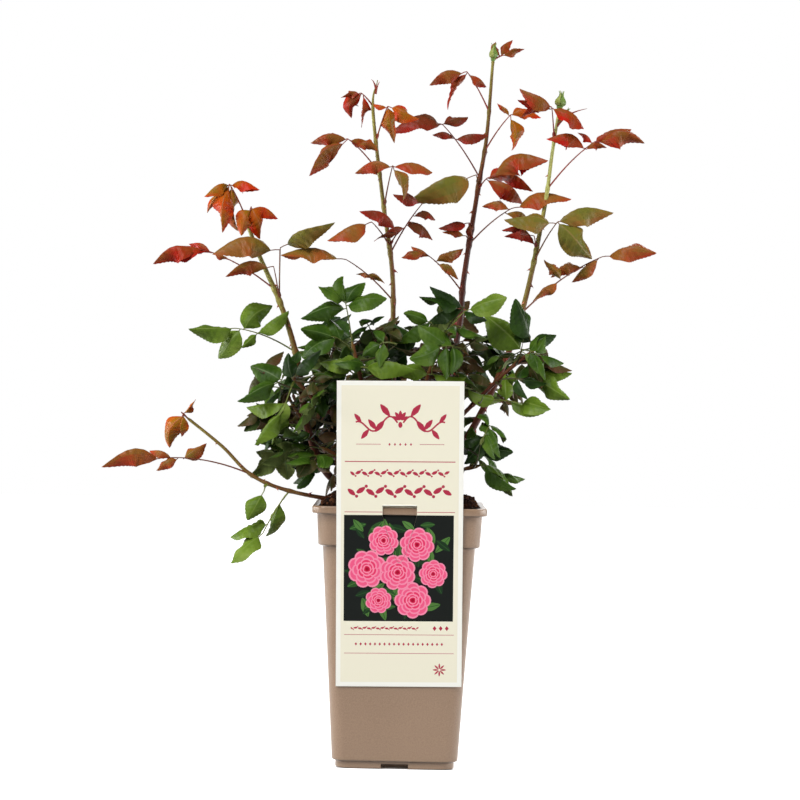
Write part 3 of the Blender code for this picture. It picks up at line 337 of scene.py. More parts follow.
def smooth_route(points, spacing=PATH_STEP):
    """Points a step apart on a Catmull-Rom curve through the given points."""
    ends = [2 * points[0] - points[1]] + points + [2 * points[-1] - points[-2]]
    route = []
    for k in range(1, len(ends) - 2):
        before, start, stop, after = ends[k - 1:k + 3]
        steps = max(1, round((stop - start).length / spacing))
        for step in range(steps):
            t = step / steps
            route.append(0.5 * (2 * start + (stop - before) * t
                                + (2 * before - 5 * start + 4 * stop - after) * t ** 2
                                + (3 * start - before - 3 * stop + after) * t ** 3))
    return route + [points[-1]]


def route_length(route):
    """The length of a route."""
    return sum((b - a).length for a, b in zip(route, route[1:]))


def point_at(route, length):
    """The point and the direction at a length along a route."""
    for a, b in zip(route, route[1:]):
        step = (b - a).length
        if length <= step:
            return a + (b - a) * (length / step), (b - a).normalized()
        length -= step
    return route[-1].copy(), (route[-1] - route[-2]).normalized()


def piece_of_route(route, start, stop):
    """The stretch of a route between two lengths."""
    piece = [point_at(route, start)[0]]
    travelled = 0.0
    for a, b in zip(route, route[1:]):
        travelled += (b - a).length
        if start + CLOSEST < travelled < stop - CLOSEST:
            piece.append(b.copy())
    piece.append(point_at(route, stop)[0])
    return piece


def frames(route):
    """At each point of a route: the length so far, the point, and two ways across the route."""
    across, travelled = None, 0.0
    for k, point in enumerate(route):
        axis = (route[min(k + 1, len(route) - 1)] - route[max(k - 1, 0)]).normalized()
        if across is None:
            across = axis.cross(SLANT).normalized()
        across = (across - axis * across.dot(axis)).normalized()
        if k:
            travelled += (point - route[k - 1]).length
        yield travelled, point, across, axis.cross(across)


def tube(route, radius_at, sides):
    """A tapering tube along a route, flat at both ends."""
    rings = []
    for travelled, point, across, other in frames(route):
        radius = radius_at(travelled)
        rings.append([point + radius * spoke(across, other, angle) for angle in circle(sides)])
    return loft(rings)


def curve(first, knee, last, steps):
    """Points in equal steps on the curve between two points that a knee draws aside."""
    return [first * (1 - t) ** 2 + knee * 2 * t * (1 - t) + last * t ** 2
            for t in (k / steps for k in range(steps + 1))]


def taper(first, last, length):
    """A radius that goes evenly from one value to another within a length."""
    return lambda travelled: first + (last - first) * min(travelled / length, 1.0)


class Shoot:
    """A cane's route, split into its bare bough and its leafy stem."""

    def __init__(self, name, route, radii, bare):
        self.name = name
        self.foot = mm(*route[0])
        self.heading = (self.foot - mm(0, 0, route[0][2] - FAN_DEPTH)).normalized()
        self.path = [self.foot, self.foot + self.heading * STUB_OUT * MM] + [mm(*p) for p in route[1:]]
        self.route = smooth_route(self.path)
        self.length = route_length(self.route)
        self.radii = [r * MM for r in radii]
        self.bare = bare * self.length

    def radius(self, length):
        """The radius at a length from the foot."""
        first, last = self.radii
        return first + (last - first) * length / self.length

    def below_tip(self, down):
        """The point and the direction at a number of mm below the tip."""
        return point_at(self.route, self.length - down * MM)

    def bough(self):
        """The bare part, as a solid."""
        route = piece_of_route(self.route, GAP, self.bare - GAP)
        return tube(route, self.radius, SIDES_BOUGH)

    def stem(self, grow=0.0):
        """The leafy part, as a solid."""
        route = piece_of_route(self.route, self.bare, self.length)
        return tube(route, lambda s: self.radius(self.bare + s) + grow, SIDES_STEM)


def blade_rings(root, tip, normal, age, grow=0.0):
    """The widest ring of a ridged blade, its two edges and its ridge, and its tip."""
    axis = tip - root
    length = axis.length
    axis.normalize()
    normal = (normal - axis * normal.dot(axis)).normalized()
    side = axis.cross(normal)
    half = AGES[age]["width"] * length / 2 + grow
    sag = AGES[age]["fold"] * half * normal
    middle = root + axis * BLADE_WIDEST * length
    widest = [middle + side * half - sag, middle - side * half - sag,
              middle + normal * (LEAF_THICK + grow)]
    return side, normal, widest, tip + axis * grow


def close_blade(vertices, faces, first, tip):
    """Close the last ring of three points, which starts at an index, with a tip."""
    point = len(vertices)
    vertices.append(tip)
    faces += [(first, first + 1, point), (first + 1, first + 2, point), (first + 2, first, point)]


def ring_bands(faces, first, rings):
    """The faces between rings of three points that follow each other from an index."""
    for ring in range(rings - 1):
        low = first + 3 * ring
        faces += [(low + k, low + (k + 1) % 3, low + 3 + (k + 1) % 3, low + 3 + k) for k in range(3)]


def leaflet(root, tip, normal, age, grow=0.0):
    """A side leaflet: a ridged blade, its small triangular foot sunk in the rachis."""
    side, normal, widest, point = blade_rings(root, tip, normal, age, grow)
    foot = [root + side * BLADE_FOOT_HALF, root - side * BLADE_FOOT_HALF,
            root + normal * BLADE_FOOT_RIDGE]
    vertices, faces = foot + widest, [(0, 1, 2)]
    ring_bands(faces, 0, 2)
    close_blade(vertices, faces, 3, point)
    return vertices, faces


def rachis_and_end(rachis, end, age, grow=0.0):
    """The three-sided rachis of a leaf, which widens into its end leaflet."""
    root, tip, normal = end
    side, normal, widest, point = blade_rings(root, tip, normal, age, grow)
    vertices, faces = [], [(0, 1, 2)]
    first, middle, last = rachis
    ways = (middle - first, last - first, (last - middle).normalized() + (tip - root).normalized())
    for share, centre, way in zip((0.0, 0.5, 1.0), rachis, ways):
        radius = RACHIS_RADIUS + share * (RACHIS_TIP - RACHIS_RADIUS) + grow
        across = (side - way * side.dot(way) / way.length_squared).normalized()
        high = across.cross(way).normalized()
        low = centre - high * 0.5 * radius
        vertices += [low + across * radius, low - across * radius, centre + high * radius]
    vertices += widest
    ring_bands(faces, 0, 4)
    close_blade(vertices, faces, 9, point)
    return vertices, faces


def arched_stalk(base, reach):
    """Three points of a leaf stalk that rises to the end of its reach."""
    return curve(base, base + reach * 0.5 + UP * STALK_RISE * reach.length, base + reach, 2)


def upper_side(axis, face, toward, spare):
    """The way a blade along an axis faces, turned by the face angle from up to the toward way."""
    normal = UP * math.cos(face) + toward * math.sin(face)
    if abs(axis.dot(normal)) > NEARLY_ALONG:
        normal = spare
    return (normal - axis * normal.dot(axis)).normalized()


def placed_plan(base, reach, blades, turn):
    """A placed leaf: the points of its stalk, and root, tip and normal of each leaflet."""
    stalk = arched_stalk(base, turn @ reach)
    leaflets = []
    for k, (share, angle, long, face) in enumerate(blades):
        root = point_at(stalk, share * route_length(stalk))[0] if share < 1.0 else stalk[2].copy()
        angle = math.radians(angle)
        way = turn @ Vector((math.cos(angle), LEANS[k % len(LEANS)], math.sin(angle)))
        normal = upper_side(way.normalized(), math.radians(face), FRONT, UP)
        leaflets.append((root, root + way * long * MM, normal))
    return stalk, leaflets


def paired_plan(base, reach, size, pitch, face, pairs, outward, toward):
    """A filling leaf: an end leaflet that points outwards at a pitch, and pairs of side leaflets."""
    stalk = arched_stalk(base, reach)
    axis = outward * math.cos(pitch) + UP * math.sin(pitch)
    normal = upper_side(axis, face, toward, outward)
    side = axis.cross(normal)
    leaflets = [(stalk[2], stalk[2] + axis * size, normal)]
    for pair in range(pairs):
        root = point_at(stalk, (PAIR_PLACE - PAIR_STEP * pair) * route_length(stalk))[0]
        long = size * (PAIR_SIZE - PAIR_SHRINK * pair)
        for sign in (-1, 1):
            out = (axis * PAIR_AHEAD + side * sign * PAIR_ASIDE - UP * PAIR_DROOP).normalized()
            tilt = (normal + side * sign * PAIR_TILT).normalized()
            leaflets.append((root, root + out * long, tilt))
    return stalk, leaflets


def hangs_back(rachis, tip):
    """Whether an end leaflet turns so far that it needs a foot of its own."""
    return (rachis[2] - rachis[1]).normalized().dot((tip - rachis[2]).normalized()) < HANG_TURN


def leaf_solids(plan, age, grow=0.0):
    """The solids of a planned leaf: its rachis with the end leaflet, then its side leaflets."""
    rachis, leaflets = plan
    if not leaflets:
        return [tube(rachis, taper(TWIG_RADIUS + grow, RACHIS_TIP + grow, route_length(rachis)), 3)]
    root, tip, normal = leaflets[0]
    if hangs_back(rachis, tip):
        stalk = tube(rachis, taper(RACHIS_RADIUS + grow, RACHIS_TIP + grow, route_length(rachis)), 3)
        near_end = root + HANG_SHARE * (rachis[1] - root)
        solids = [stalk, leaflet(near_end, tip, normal, age, grow)]
    else:
        solids = [rachis_and_end(rachis, leaflets[0], age, grow)]
    return solids + [leaflet(*blade, age, grow) for blade in leaflets[1:]]


def tree_of(solids):
    """One search tree over several solids."""
    return BVHTree.FromPolygons(*joined(solids))


# Leaves placed one by one: how far below the shoot's tip each springs and the reach of its stalk
# (mm), its tone, and its leaflets: share along the stalk, angle above level towards the right
# (degrees), length (mm) and how far the upper side turns from straight up to the front (degrees).
LEAVES = {
    "left": [
        (2, (-16, -6, 32), "orange", [(1.0, -96, 50, 80), (0.97, -130, 36, 65), (0.93, -80, 44, 60),
            (0.96, -8, 30, 8), (0.98, -152, 28, 50)]),
        (12, (3, -12, 19), "orange", [(1.0, -106, 31, 78), (1.0, -74, 33, 78), (0.9, -18, 28, 8)]),
        (80, (-72, -10, 38), "red", [(1.0, -161, 50, 40), (0.97, -173, 44, 25), (0.88, 158, 26, 20),
            (0.84, -20, 16, 45)]),
        (92, (1, -14, 52), "olive", [(1.0, 25, 60, 50)]),
        (93, (0, -13, 51), "bronze", [(1.0, -174, 66, 48)]),
        (94, (-6, -16, 35), "bronze", [(1.0, -166, 48, 45)]),
        (146, (-57, -12, 22), "light", [(1.0, -178, 48, 62), (0.96, -127, 37, 55), (0.92, 42, 38, 58),
            (0.68, 37, 39, 30), (0.68, -138, 21, 55)]),
    ],
    "centre": [
        (27, (-12, -3, 13), "red", [(1.0, -164, 21, 50), (1.0, -112, 26, 62), (0.85, -93, 31, 65)]),
        (62, (11, -14, 34), "orange", [(1.0, -22, 34, 65), (1.0, -78, 36, 75), (0.95, 160, 14, 40)]),
        (94, (-32, -10, 33), "red", [(1.0, -134, 54, 50), (1.0, -175, 38, 40), (0.95, -4, 22, 20),
            (0.78, -14, 22, 50)]),
        (128, (8, -24, 40), "bronze", [(1.0, -73, 37, 84), (0.97, -171, 38, 25), (0.97, -4, 40, 25)]),
        (166, (-18, -14, 22), "bronze", [(1.0, -155, 48, 45)]),
        (167, (10, -22, 14), "maroon", [(1.0, 156, 44, 52), (0.9, -160, 26, 60)]),
        (174, (30, -8, 50), "maroon", [(1.0, 166, 32, 45), (0.74, -6, 24, 15), (0.55, -24, 32, 40),
            (0.5, -155, 26, 50)]),
        (222, (-48, -14, 40), "bronze", [(1.0, 178, 64, 20), (0.6, -25, 20, 50), (0.5, 165, 16, 30)]),
    ],
    "tall": [
        (1, (8, 2, 5), "red", [(1.0, 16, 25, 60), (1.0, 56, 22, 55), (0.9, 104, 17, 50)]),
        (54, (-24, -8, 40), "red", [(1.0, -157, 42, 40), (0.98, -117, 42, 76), (0.92, -30, 22, 40)]),
        (96, (26, -8, 38), "orange", [(1.0, -88, 38, 55), (1.0, -2, 32, 25), (0.96, 132, 19, 50)]),
        (124, (-40, -8, 54), "maroon", [(1.0, 174, 38, 55), (1.0, 20, 28, 58), (0.72, 168, 23, 45),
            (0.7, 9, 35, 20), (1.0, -168, 56, 35)]),
        (132, (-3, -14, 10), "olive", [(1.0, -156, 78, 46)]),
        (137, (9, -12, 12), "red", [(1.0, 16, 64, 30), (1.0, -13, 50, 66), (0.9, -30, 46, 56)]),
        (178, (-3, -8, 6), "maroon", [(1.0, -168, 32, 40), (0.9, -70, 16, 60)]),
        (190, (-3, -8, 4), "bronze", [(1.0, 172, 26, 30)]),
        (194, (42, -10, 38), "bronze", [(1.0, 10, 60, 16), (0.97, 174, 28, 40), (0.86, -24, 32, 35)]),
        (244, (-38, -12, 38), "bronze", [(1.0, -170, 26, 40), (0.92, 150, 22, 30), (0.78, 28, 33, 60),
            (0.72, -36, 27, 50)]),
    ],
    "right": [
        (34, (-4, -14, 32), "red", [(1.0, 171, 36, 58), (0.96, -165, 32, 62), (0.98, -27, 36, 50),
            (1.0, 152, 38, 62)]),
        (84, (46, -8, 48), "red", [(1.0, -2, 50, 55), (1.0, 22, 42, 48), (0.97, 142, 19, 40),
            (0.84, 168, 42, 15), (0.83, 4, 21, 15)]),
        (148, (-3, -8, 14), "maroon", [(1.0, 172, 34, 25), (0.4, 165, 33, 15)]),
        (160, (22, -16, 40), "olive", [(0.96, 178, 54, 30), (1.0, 12, 60, 35), (1.0, -43, 52, 62)]),
        (214, (82, 8, 60), "bronze", [(1.0, 4, 54, 44), (0.96, -138, 36, 60), (0.78, -162, 34, 50),
            (0.52, 132, 27, 60), (0.48, -142, 33, 55)]),
    ],
    "low_left": [
        (1, (-4, -4, 3), "orange", [(1.0, 50, 20, 70), (1.0, -112, 36, 50), (0.9, -96, 22, 50)]),
        (86, (-84, -8, 15), "bronze", [(1.0, -171, 62, 38), (0.93, 163, 24, 30), (0.8, 36, 27, 40),
            (0.86, -150, 24, 35)]),
        (104, (-2, -12, -8), "light", [(1.0, -118, 32, 40)]),
        (128, (-25, -12, -42), "light", [(1.0, -136, 42, 62), (0.8, -160, 40, 30), (0.3, -114, 38, 62)]),
    ],
    "low_right": [
        (1, (2, -8, 3), "green", [(1.0, -36, 42, 66), (0.9, -46, 46, 15)]),
        (6, (3, -10, 12), "dark", [(1.0, 6, 34, 50)]),
        (12, (14, -10, 32), "dark", [(1.0, -126, 34, 66), (1.0, -168, 28, 60)]),
    ],
    "side_right": [
        (1, (-5, -4, 6), "dark", [(1.0, 112, 46, 62), (1.0, 18, 27, 58), (0.95, 150, 34, 60)]),
        (24, (4, -8, 12), "light", [(0.9, -24, 27, 35), (1.0, 136, 52, 50)]),
        (52, (32, -10, 4), "light", [(1.0, -27, 45, 55), (1.0, 8, 44, 50), (0.7, -168, 26, 40)]),
        (84, (52, -8, 2), "light", [(1.0, -8, 40, 58), (0.8, -16, 35, 12), (0.74, 104, 28, 62),
            (0.5, 160, 30, 60)]),
    ],
    "front_left": [
        (1, (-7, -4, 38), "green", [(1.0, 150, 31, 62), (1.0, 96, 27, 60), (0.98, 50, 29, 60),
            (0.93, 11, 41, 72), (0.86, -166, 46, 45)]),
        (14, (-18, -12, 16), "green", [(1.0, 168, 36, 55), (1.0, -150, 40, 60), (0.8, 118, 26, 50)]),
        (25, (2, -15, -2), "light", [(1.0, -2, 55, 42), (1.0, 174, 40, 45)]),
        (30, (12, -12, 4), "green", [(0.9, 176, 34, 30), (1.0, -4, 40, 30)]),
    ],
    "front_right": [
        (1, (22, -6, 31), "dark", [(1.0, 168, 46, 45), (0.97, -157, 40, 52), (0.92, -20, 27, 50),
            (0.97, 148, 40, 50)]),
        (3, (23, -12, 29), "light", [(1.0, 19, 43, 45)]),
        (8, (-8, -8, 22), "green", [(1.0, 163, 29, 60), (1.0, -150, 40, 50)]),
        (36, (-24, -8, 20), "dark", [(1.0, 178, 40, 55), (0.9, 120, 34, 50), (0.9, -130, 32, 60)]),
        (27, (-1, -19, -11), "light", [(1.0, 183, 33, 45), (1.0, -3, 34, 45)]),
    ],
    "thicket_left": [
        (1, (-6, -8, -10), "green", [(1.0, -154, 46, 58), (0.9, 157, 34, 45)]),
        (3, (4, -12, -6), "dark", [(1.0, 46, 40, 58), (1.0, 100, 26, 50)]),
        (12, (-10, -10, -30), "light", [(1.0, -128, 44, 40), (0.96, -108, 38, 50), (0.8, -174, 40, 40),
            (0.7, -118, 30, 60)]),
    ],
}
# How far the leaflets of a placed leaf lean towards the back, in turn, as a share of their length.
LEANS = (-0.30, 0.32, 0.45, -0.15)

# Side twigs and leaves that fill a shoot's own space: how many twigs and leaves, how many further
# twigs and smaller leaves, and the middle and half sizes of the space (mm).
FILLS = {
    "front_left": ((2, 6), (3, 13), (-34, -52, 412), (62, 50, 62)),
    "front_right": ((2, 6), (3, 13), (40, -52, 412), (58, 50, 62)),
    "thicket_low": ((3, 10), (2, 10), (-88, -46, 316), (72, 68, 62)),
    "thicket_left": ((5, 16), (4, 20), (-100, -50, 326), (76, 76, 102)),
    "thicket_outer": ((4, 15), (4, 18), (-98, 42, 330), (76, 74, 100)),
    "side_right": ((2, 5), (1, 5), (112, -48, 392), (60, 56, 66)),
    "low_right": ((2, 6), (0, 0), (86, -30, 325), (54, 68, 66)),
    "back_left": ((4, 11), (4, 20), (-48, 100, 385), (84, 78, 100)),
    "back_right": ((4, 12), (4, 20), (62, 100, 385), (84, 78, 100)),
}
FILL_TONES = ("dark", "green", "plum", "dark", "green")
TURNS = (0, -8, 8, -16, 16, -26, 26)
# Twigs: reach, rise by their way out, sag, and where the first starts on the stem.  Where one
# doesn't fit, it is tried again at a turn (radians), lower and shorter.
TWIG_REACH, TWIG_RISE, TWIG_SAG, TWIG_START = 58 * MM, 0.45, 0.08, 0.12
TWIG_TRIES, TWIG_TURN, TWIG_LOWER, TWIG_SHORTER = 8, 0.8, 0.12, 0.05
# Filling leaves: where on a route they spring, their tries with the turn (radians) and loss of
# size of each, least and most of reach and rise (mm), pitch, face and turn aside (degrees), and
# the numbers of pairs.
FILL_START, FILL_SPAN = 0.25, 0.72
FILL_TRIES, FILL_TURN, FILL_SHORTER = 24, 0.55, 0.015
FILL_REACH, FILL_RISE = (14, 36), (-18, 20)
FILL_PITCH, FILL_FACE, FILL_ASIDE, FILL_PAIRS = (-40, 5), (30, 75), (-60, 60), (1, 2, 2)
FILL_SIZES, FINE_SIZES = (37, 45), (28, 40)

# Buds on each shoot: how far below its tip the bud's stalk springs, the stalk's reach, and the
# bud's length and radius (mm).
BUDS = {"tall": [(2, (0, 0, 0), 15, 4.2)], "right": [(2, (0, 0, 0), 15, 5.4), (16, (7, -5, 6), 8, 2.6)]}
# Bare wiry stalks near the tips: how far below the tip each springs, and its reach (mm).
WIRES = {"centre": [(14, (4, -3, 12)), (9, (-5, -3, 9))], "right": [(20, (16, -8, 14)), (14, (30, -4, 13))]}


def turned(degrees):
    """A turn about the vertical."""
    return Matrix.Rotation(math.radians(degrees), 3, "Z")


def outwards(bearing, rise=0.0):
    """The way out at a bearing, with a rise."""
    return Vector((math.cos(bearing), math.sin(bearing), rise))


def filling_plan(base, outward, sizes, attempt, draw):
    """A filling leaf that reaches outwards from a point, with its sizes and angles drawn."""
    reach = outward * draw.uniform(*FILL_REACH) * MM + UP * draw.uniform(*FILL_RISE) * MM
    size = draw.uniform(*sizes) * MM * (1.0 - FILL_SHORTER * attempt)
    pitch = math.radians(draw.uniform(*FILL_PITCH))
    face = math.radians(draw.uniform(*FILL_FACE))
    aside = turned(draw.uniform(*FILL_ASIDE))
    toward = aside @ Vector((base.x + reach.x, base.y + reach.y, 0.0)).normalized()
    return paired_plan(base, reach, size, pitch, face, draw.choice(FILL_PAIRS), outward, toward)


class Growth:
    """Leaves grown on the shoots, each clear of the limbs and of every other shoot's leaves."""

    def __init__(self, shoots, obstacles):
        self.stems = {shoot.name: tree_of([shoot.stem(CLEAR)]) for shoot in shoots}
        self.obstacles = obstacles + [tree_of([shoot.bough()]) for shoot in shoots]
        self.leaves = {shoot.name: [] for shoot in shoots}
        self.trees = {shoot.name: [] for shoot in shoots}

    def fits(self, name, plan, age, crowded):
        """Whether a leaf is clear of all but, where it may crowd them, its own shoot's leaves."""
        solids = leaf_solids(plan, age, CLEAR)
        whole = tree_of(solids)
        blades = tree_of([leaflet(*blade, age, CLEAR) for blade in plan[1]]) if plan[1] else None
        if blades and blades.overlap(self.stems[name]):
            return False
        others = [tree for owner, tree in self.stems.items() if owner != name] + self.obstacles
        others += [tree for owner, trees in self.trees.items() if owner != name for tree in trees]
        if any(whole.overlap(tree) for tree in others):
            return False
        return crowded or not blades or not any(blades.overlap(tree) for tree in self.trees[name])

    def keep(self, name, plan, age, tone):
        """Keep a leaf, and its solids as an obstacle to later ones."""
        self.leaves[name].append((plan, age, tone))
        self.trees[name].append(tree_of(leaf_solids(plan, age)))

    def place(self, shoot, row):
        """Grow one placed leaf; where something is in its way it turns aside, or is skipped."""
        down, reach, tone, blades = row
        base = shoot.below_tip(down)[0]
        for turn in TURNS:
            plan = placed_plan(base, mm(*reach), blades, turned(turn))
            if self.fits(shoot.name, plan, AGE_OF[tone], crowded=True):
                self.keep(shoot.name, plan, AGE_OF[tone], tone)
                return

    def branch(self, shoot, twigs, inside):
        """Side twigs at the golden angle along the stem; returns the stem and its twigs as routes."""
        leafy = shoot.length - shoot.bare
        routes = [piece_of_route(shoot.route, shoot.bare + TWIG_START * leafy, shoot.length)]
        for k in range(twigs):
            base = point_at(shoot.route, shoot.bare + leafy * (k + 0.5) / twigs)[0]
            for attempt in range(TWIG_TRIES):
                outward = outwards((k + 1) * GOLDEN + attempt * TWIG_TURN, TWIG_RISE - TWIG_LOWER * attempt)
                tip = base + outward.normalized() * TWIG_REACH * (1 - TWIG_SHORTER * attempt)
                twig = [base, (base + tip) / 2 - UP * TWIG_SAG * TWIG_REACH, tip]
                if inside(tip) and self.fits(shoot.name, (twig, []), "grown", crowded=False):
                    self.keep(shoot.name, (twig, []), "grown", "twig")
                    routes.append(twig)
                    break
        return routes

    def fill(self, shoot, twigs, count, space, sizes, season):
        """Grow leaves on the stem and its twigs, within the shoot's own space."""
        draw = random.Random(shoot.name + season)
        middle, half = space

        def inside(point):
            return sum(((point[i] - middle[i]) / half[i]) ** 2 for i in range(3)) < 1.0

        routes = self.branch(shoot, twigs, inside)
        for k in range(count):
            route = routes[k % len(routes)]
            tier = (k // len(routes) + 1) * len(routes) / count
            base = point_at(route, route_length(route) * min(1.0, FILL_START + FILL_SPAN * tier))[0]
            for attempt in range(FILL_TRIES):
                plan = filling_plan(base, outwards(k * GOLDEN + attempt * FILL_TURN), sizes, attempt, draw)
                held = all(inside(tip) for root, tip, normal in plan[1])
                if held and self.fits(shoot.name, plan, "grown", crowded=False):
                    self.keep(shoot.name, plan, "grown", draw.choice(FILL_TONES))
                    break


# -------------------- leaflets

# Where the lines along a blade lie across it, from margin to margin, and which band is the midrib.
COLUMNS = np.array([-1.0, -0.68, -0.34, -0.05, 0.05, 0.34, 0.68, 1.0])
MIDRIB = 3
STATION = 1.6 * MM
BLADE_THICK, MIDRIB_GROOVE = 0.32 * MM, 0.22 * MM
LEAST_STATIONS, MOST_STATIONS = 12, 34
TOOTH, TOOTH_LEAN = 0.028, 0.35
VEIN_PAIRS, VEIN_RELIEF, VEIN_LEAN = 6, 0.05, 0.22
# The outline: powers of the swelling from the foot and of the narrowing to the tip, and the least
# width by the widest.
OUTLINE_FOOT, OUTLINE_TIP, OUTLINE_LEAST = 0.55, 0.85, 0.025
# How late the bow comes, where the twist has no turn, the fold at the foot and its gain, the waves
# of the margin and how they grow with the bow, and how far the two margins' waves are apart.
BOW_LATE, TWIST_START, FOLD_START, FOLD_GAIN = 0.8, 0.35, 0.75, 0.5
WAVES, WAVES_BY_BOW, WAVES_APART = 0.9, 3, 1.7
# Random turns of a leaflet's waves and clouds of colour: the first is the wave's, the next three
# the clouds', the fifth the whole leaflet's tint.
PHASES = 6
# How the tint runs from midrib to margin and from foot to tip, in clouds, and by leaflet.
TINT_START, TINT_ACROSS, TINT_ALONG, TINT_CLOUD, TINT_LEAFLET = 0.15, 0.5, 0.15, 0.20, 0.22
UNDER_START, UNDER_CLOUD = 0.5, 0.35
# The clouds: waves along and across a blade, with finer ones that differ on its two halves.
CLOUD_ALONG, CLOUD_ACROSS, FINE_SHARE, FINE_ALONG, FINE_APART = 5.1, 2.6, 0.6, 11, 3
# How leaflets of an age are bent, each as least and most: fold along the midrib (radians), arch
# across, bow along, sideways sweep, twist and roll (radians), wave of the margin, and breadth by
# the solid's.
BENDS = {
    "young": dict(fold=(0.42, 1.05), arch=(0.10, 0.50), bow=(0.14, 0.36), sweep=(-0.16, 0.16),
                  twist=(-1.1, 1.1), roll=(-0.35, 0.35), wave=(0.10, 0.26), breadth=(1.35, 1.65)),
    "bronze": dict(fold=(0.40, 1.00), arch=(0.10, 0.45), bow=(0.12, 0.32), sweep=(-0.14, 0.14),
                   twist=(-0.9, 0.9), roll=(-0.35, 0.35), wave=(0.10, 0.24), breadth=(1.3, 1.55)),
    "grown": dict(fold=(0.12, 0.75), arch=(0.06, 0.42), bow=(0.03, 0.20), sweep=(-0.08, 0.08),
                  twist=(-0.7, 0.7), roll=(-0.6, 0.6), wave=(0.08, 0.24), breadth=(0.95, 1.15)),
}


def unit(vectors):
    """Vectors of unit length along the last axis of an array."""
    return vectors / np.linalg.norm(vectors, axis=-1, keepdims=True)


def blade_faces(stations):
    """Triangles of a blade's upper and lower skins, which share their margins, and its two ends."""
    wide = len(COLUMNS)
    upper = np.arange((stations + 1) * wide).reshape(stations + 1, wide)
    lower = upper.copy()
    lower[:, 1:-1] = upper.size + np.arange((stations + 1) * (wide - 2)).reshape(stations + 1, wide - 2)
    skins = []
    for skin in (upper, lower):
        a, b, c, d = skin[:-1, :-1], skin[:-1, 1:], skin[1:, 1:], skin[1:, :-1]
        skins.append(np.stack([a, b, c, a, c, d], axis=-1).reshape(-1, 3))
    ends = [tuple(upper[0, ::-1]) + tuple(lower[0, 1:-1]), tuple(upper[-1]) + tuple(lower[-1, -2:0:-1])]
    return skins[0], skins[1][:, ::-1], ends


def bent_midrib(root, tip, normal, bend, t):
    """Points of a bowed and swept midrib, and the ways along, across and up, twisted round it."""
    length = np.linalg.norm(tip - root)
    axis = unit(tip - root)
    normal = unit(normal - axis * axis.dot(normal))
    side = np.cross(axis, normal)
    middle = root + axis * t * length
    middle = middle + normal * length * bend["bow"] * np.sin(math.pi * t ** BOW_LATE)
    middle = middle + side * length * bend["sweep"] * np.sin(math.pi * t)
    along = unit(np.gradient(middle, axis=0))
    up = unit(normal - along * (along @ normal)[:, None])
    across = np.cross(along, up)
    turn = bend["roll"] + bend["twist"] * (t - TWIST_START)
    return middle, along, across * np.cos(turn) + up * np.sin(turn), up * np.cos(turn) - across * np.sin(turn)


def blade_section(length, half, bend, phase, t, u):
    """How far forward, aside and up from the midrib each point of a blade's upper skin lies."""
    profile = t ** OUTLINE_FOOT * (1 - t) ** OUTLINE_TIP
    profile = np.maximum(profile / profile.max(), OUTLINE_LEAST)
    stations = len(t) - 1
    station = np.arange(stations + 1)
    tooth = (station % 2 * (station < stations))[:, None]
    out = np.abs(u)
    margin = out > 0.99
    wide = half * profile * out * (1 + TOOTH * tooth * margin)
    forward = TOOTH_LEAN / stations * length * tooth * margin
    fold = bend["fold"] * (FOLD_START + FOLD_GAIN * t)
    turns = 2 * math.pi * (WAVES + bend["bow"] * WAVES_BY_BOW) * t + phase[0] + WAVES_APART * np.sign(u)
    wave = bend["wave"] * u ** 2 * np.sin(turns)
    quilt = VEIN_RELIEF * (1 - out) * out * 4 * np.sin(2 * math.pi * VEIN_PAIRS * (t - VEIN_LEAN * out))
    lift = half * profile * (wave + quilt - bend["arch"] * u ** 2)
    aside = np.sign(u) * (wide * np.cos(fold) + lift * np.sin(fold))
    return forward, aside, lift * np.cos(fold) - wide * np.sin(fold) - MIDRIB_GROOVE * (out < 0.1)


def blade_tints(tone, phase, t, u):
    """The finishes of a blade's faces: by the tone's steps, in soft clouds, with a plain midrib."""
    steps, unders, rib = LEAF_FINISHES[tone]
    sides = u[:, :-1] + u[:, 1:]
    v, s = np.abs(sides) / 2, (t[:-1] + t[1:]) / 2
    cloud = np.sin(CLOUD_ALONG * s + phase[1]) * np.cos(CLOUD_ACROSS * v + phase[2])
    cloud = cloud + FINE_SHARE * np.sin(FINE_ALONG * s + phase[3] + FINE_APART * np.sign(sides))
    upper = TINT_START + TINT_ACROSS * v + TINT_ALONG * s + TINT_CLOUD * cloud
    upper = upper + TINT_LEAFLET * math.sin(phase[4])
    tints = []
    for finishes, value in ((steps, upper), (unders, UNDER_START + UNDER_CLOUD * cloud)):
        skin = finishes[np.clip(value * len(finishes), 0, len(finishes) - 1).astype(int)]
        skin[:, MIDRIB] = rib
        tints.append(skin.ravel().repeat(2))
    return np.concatenate(tints + [[rib, rib]])


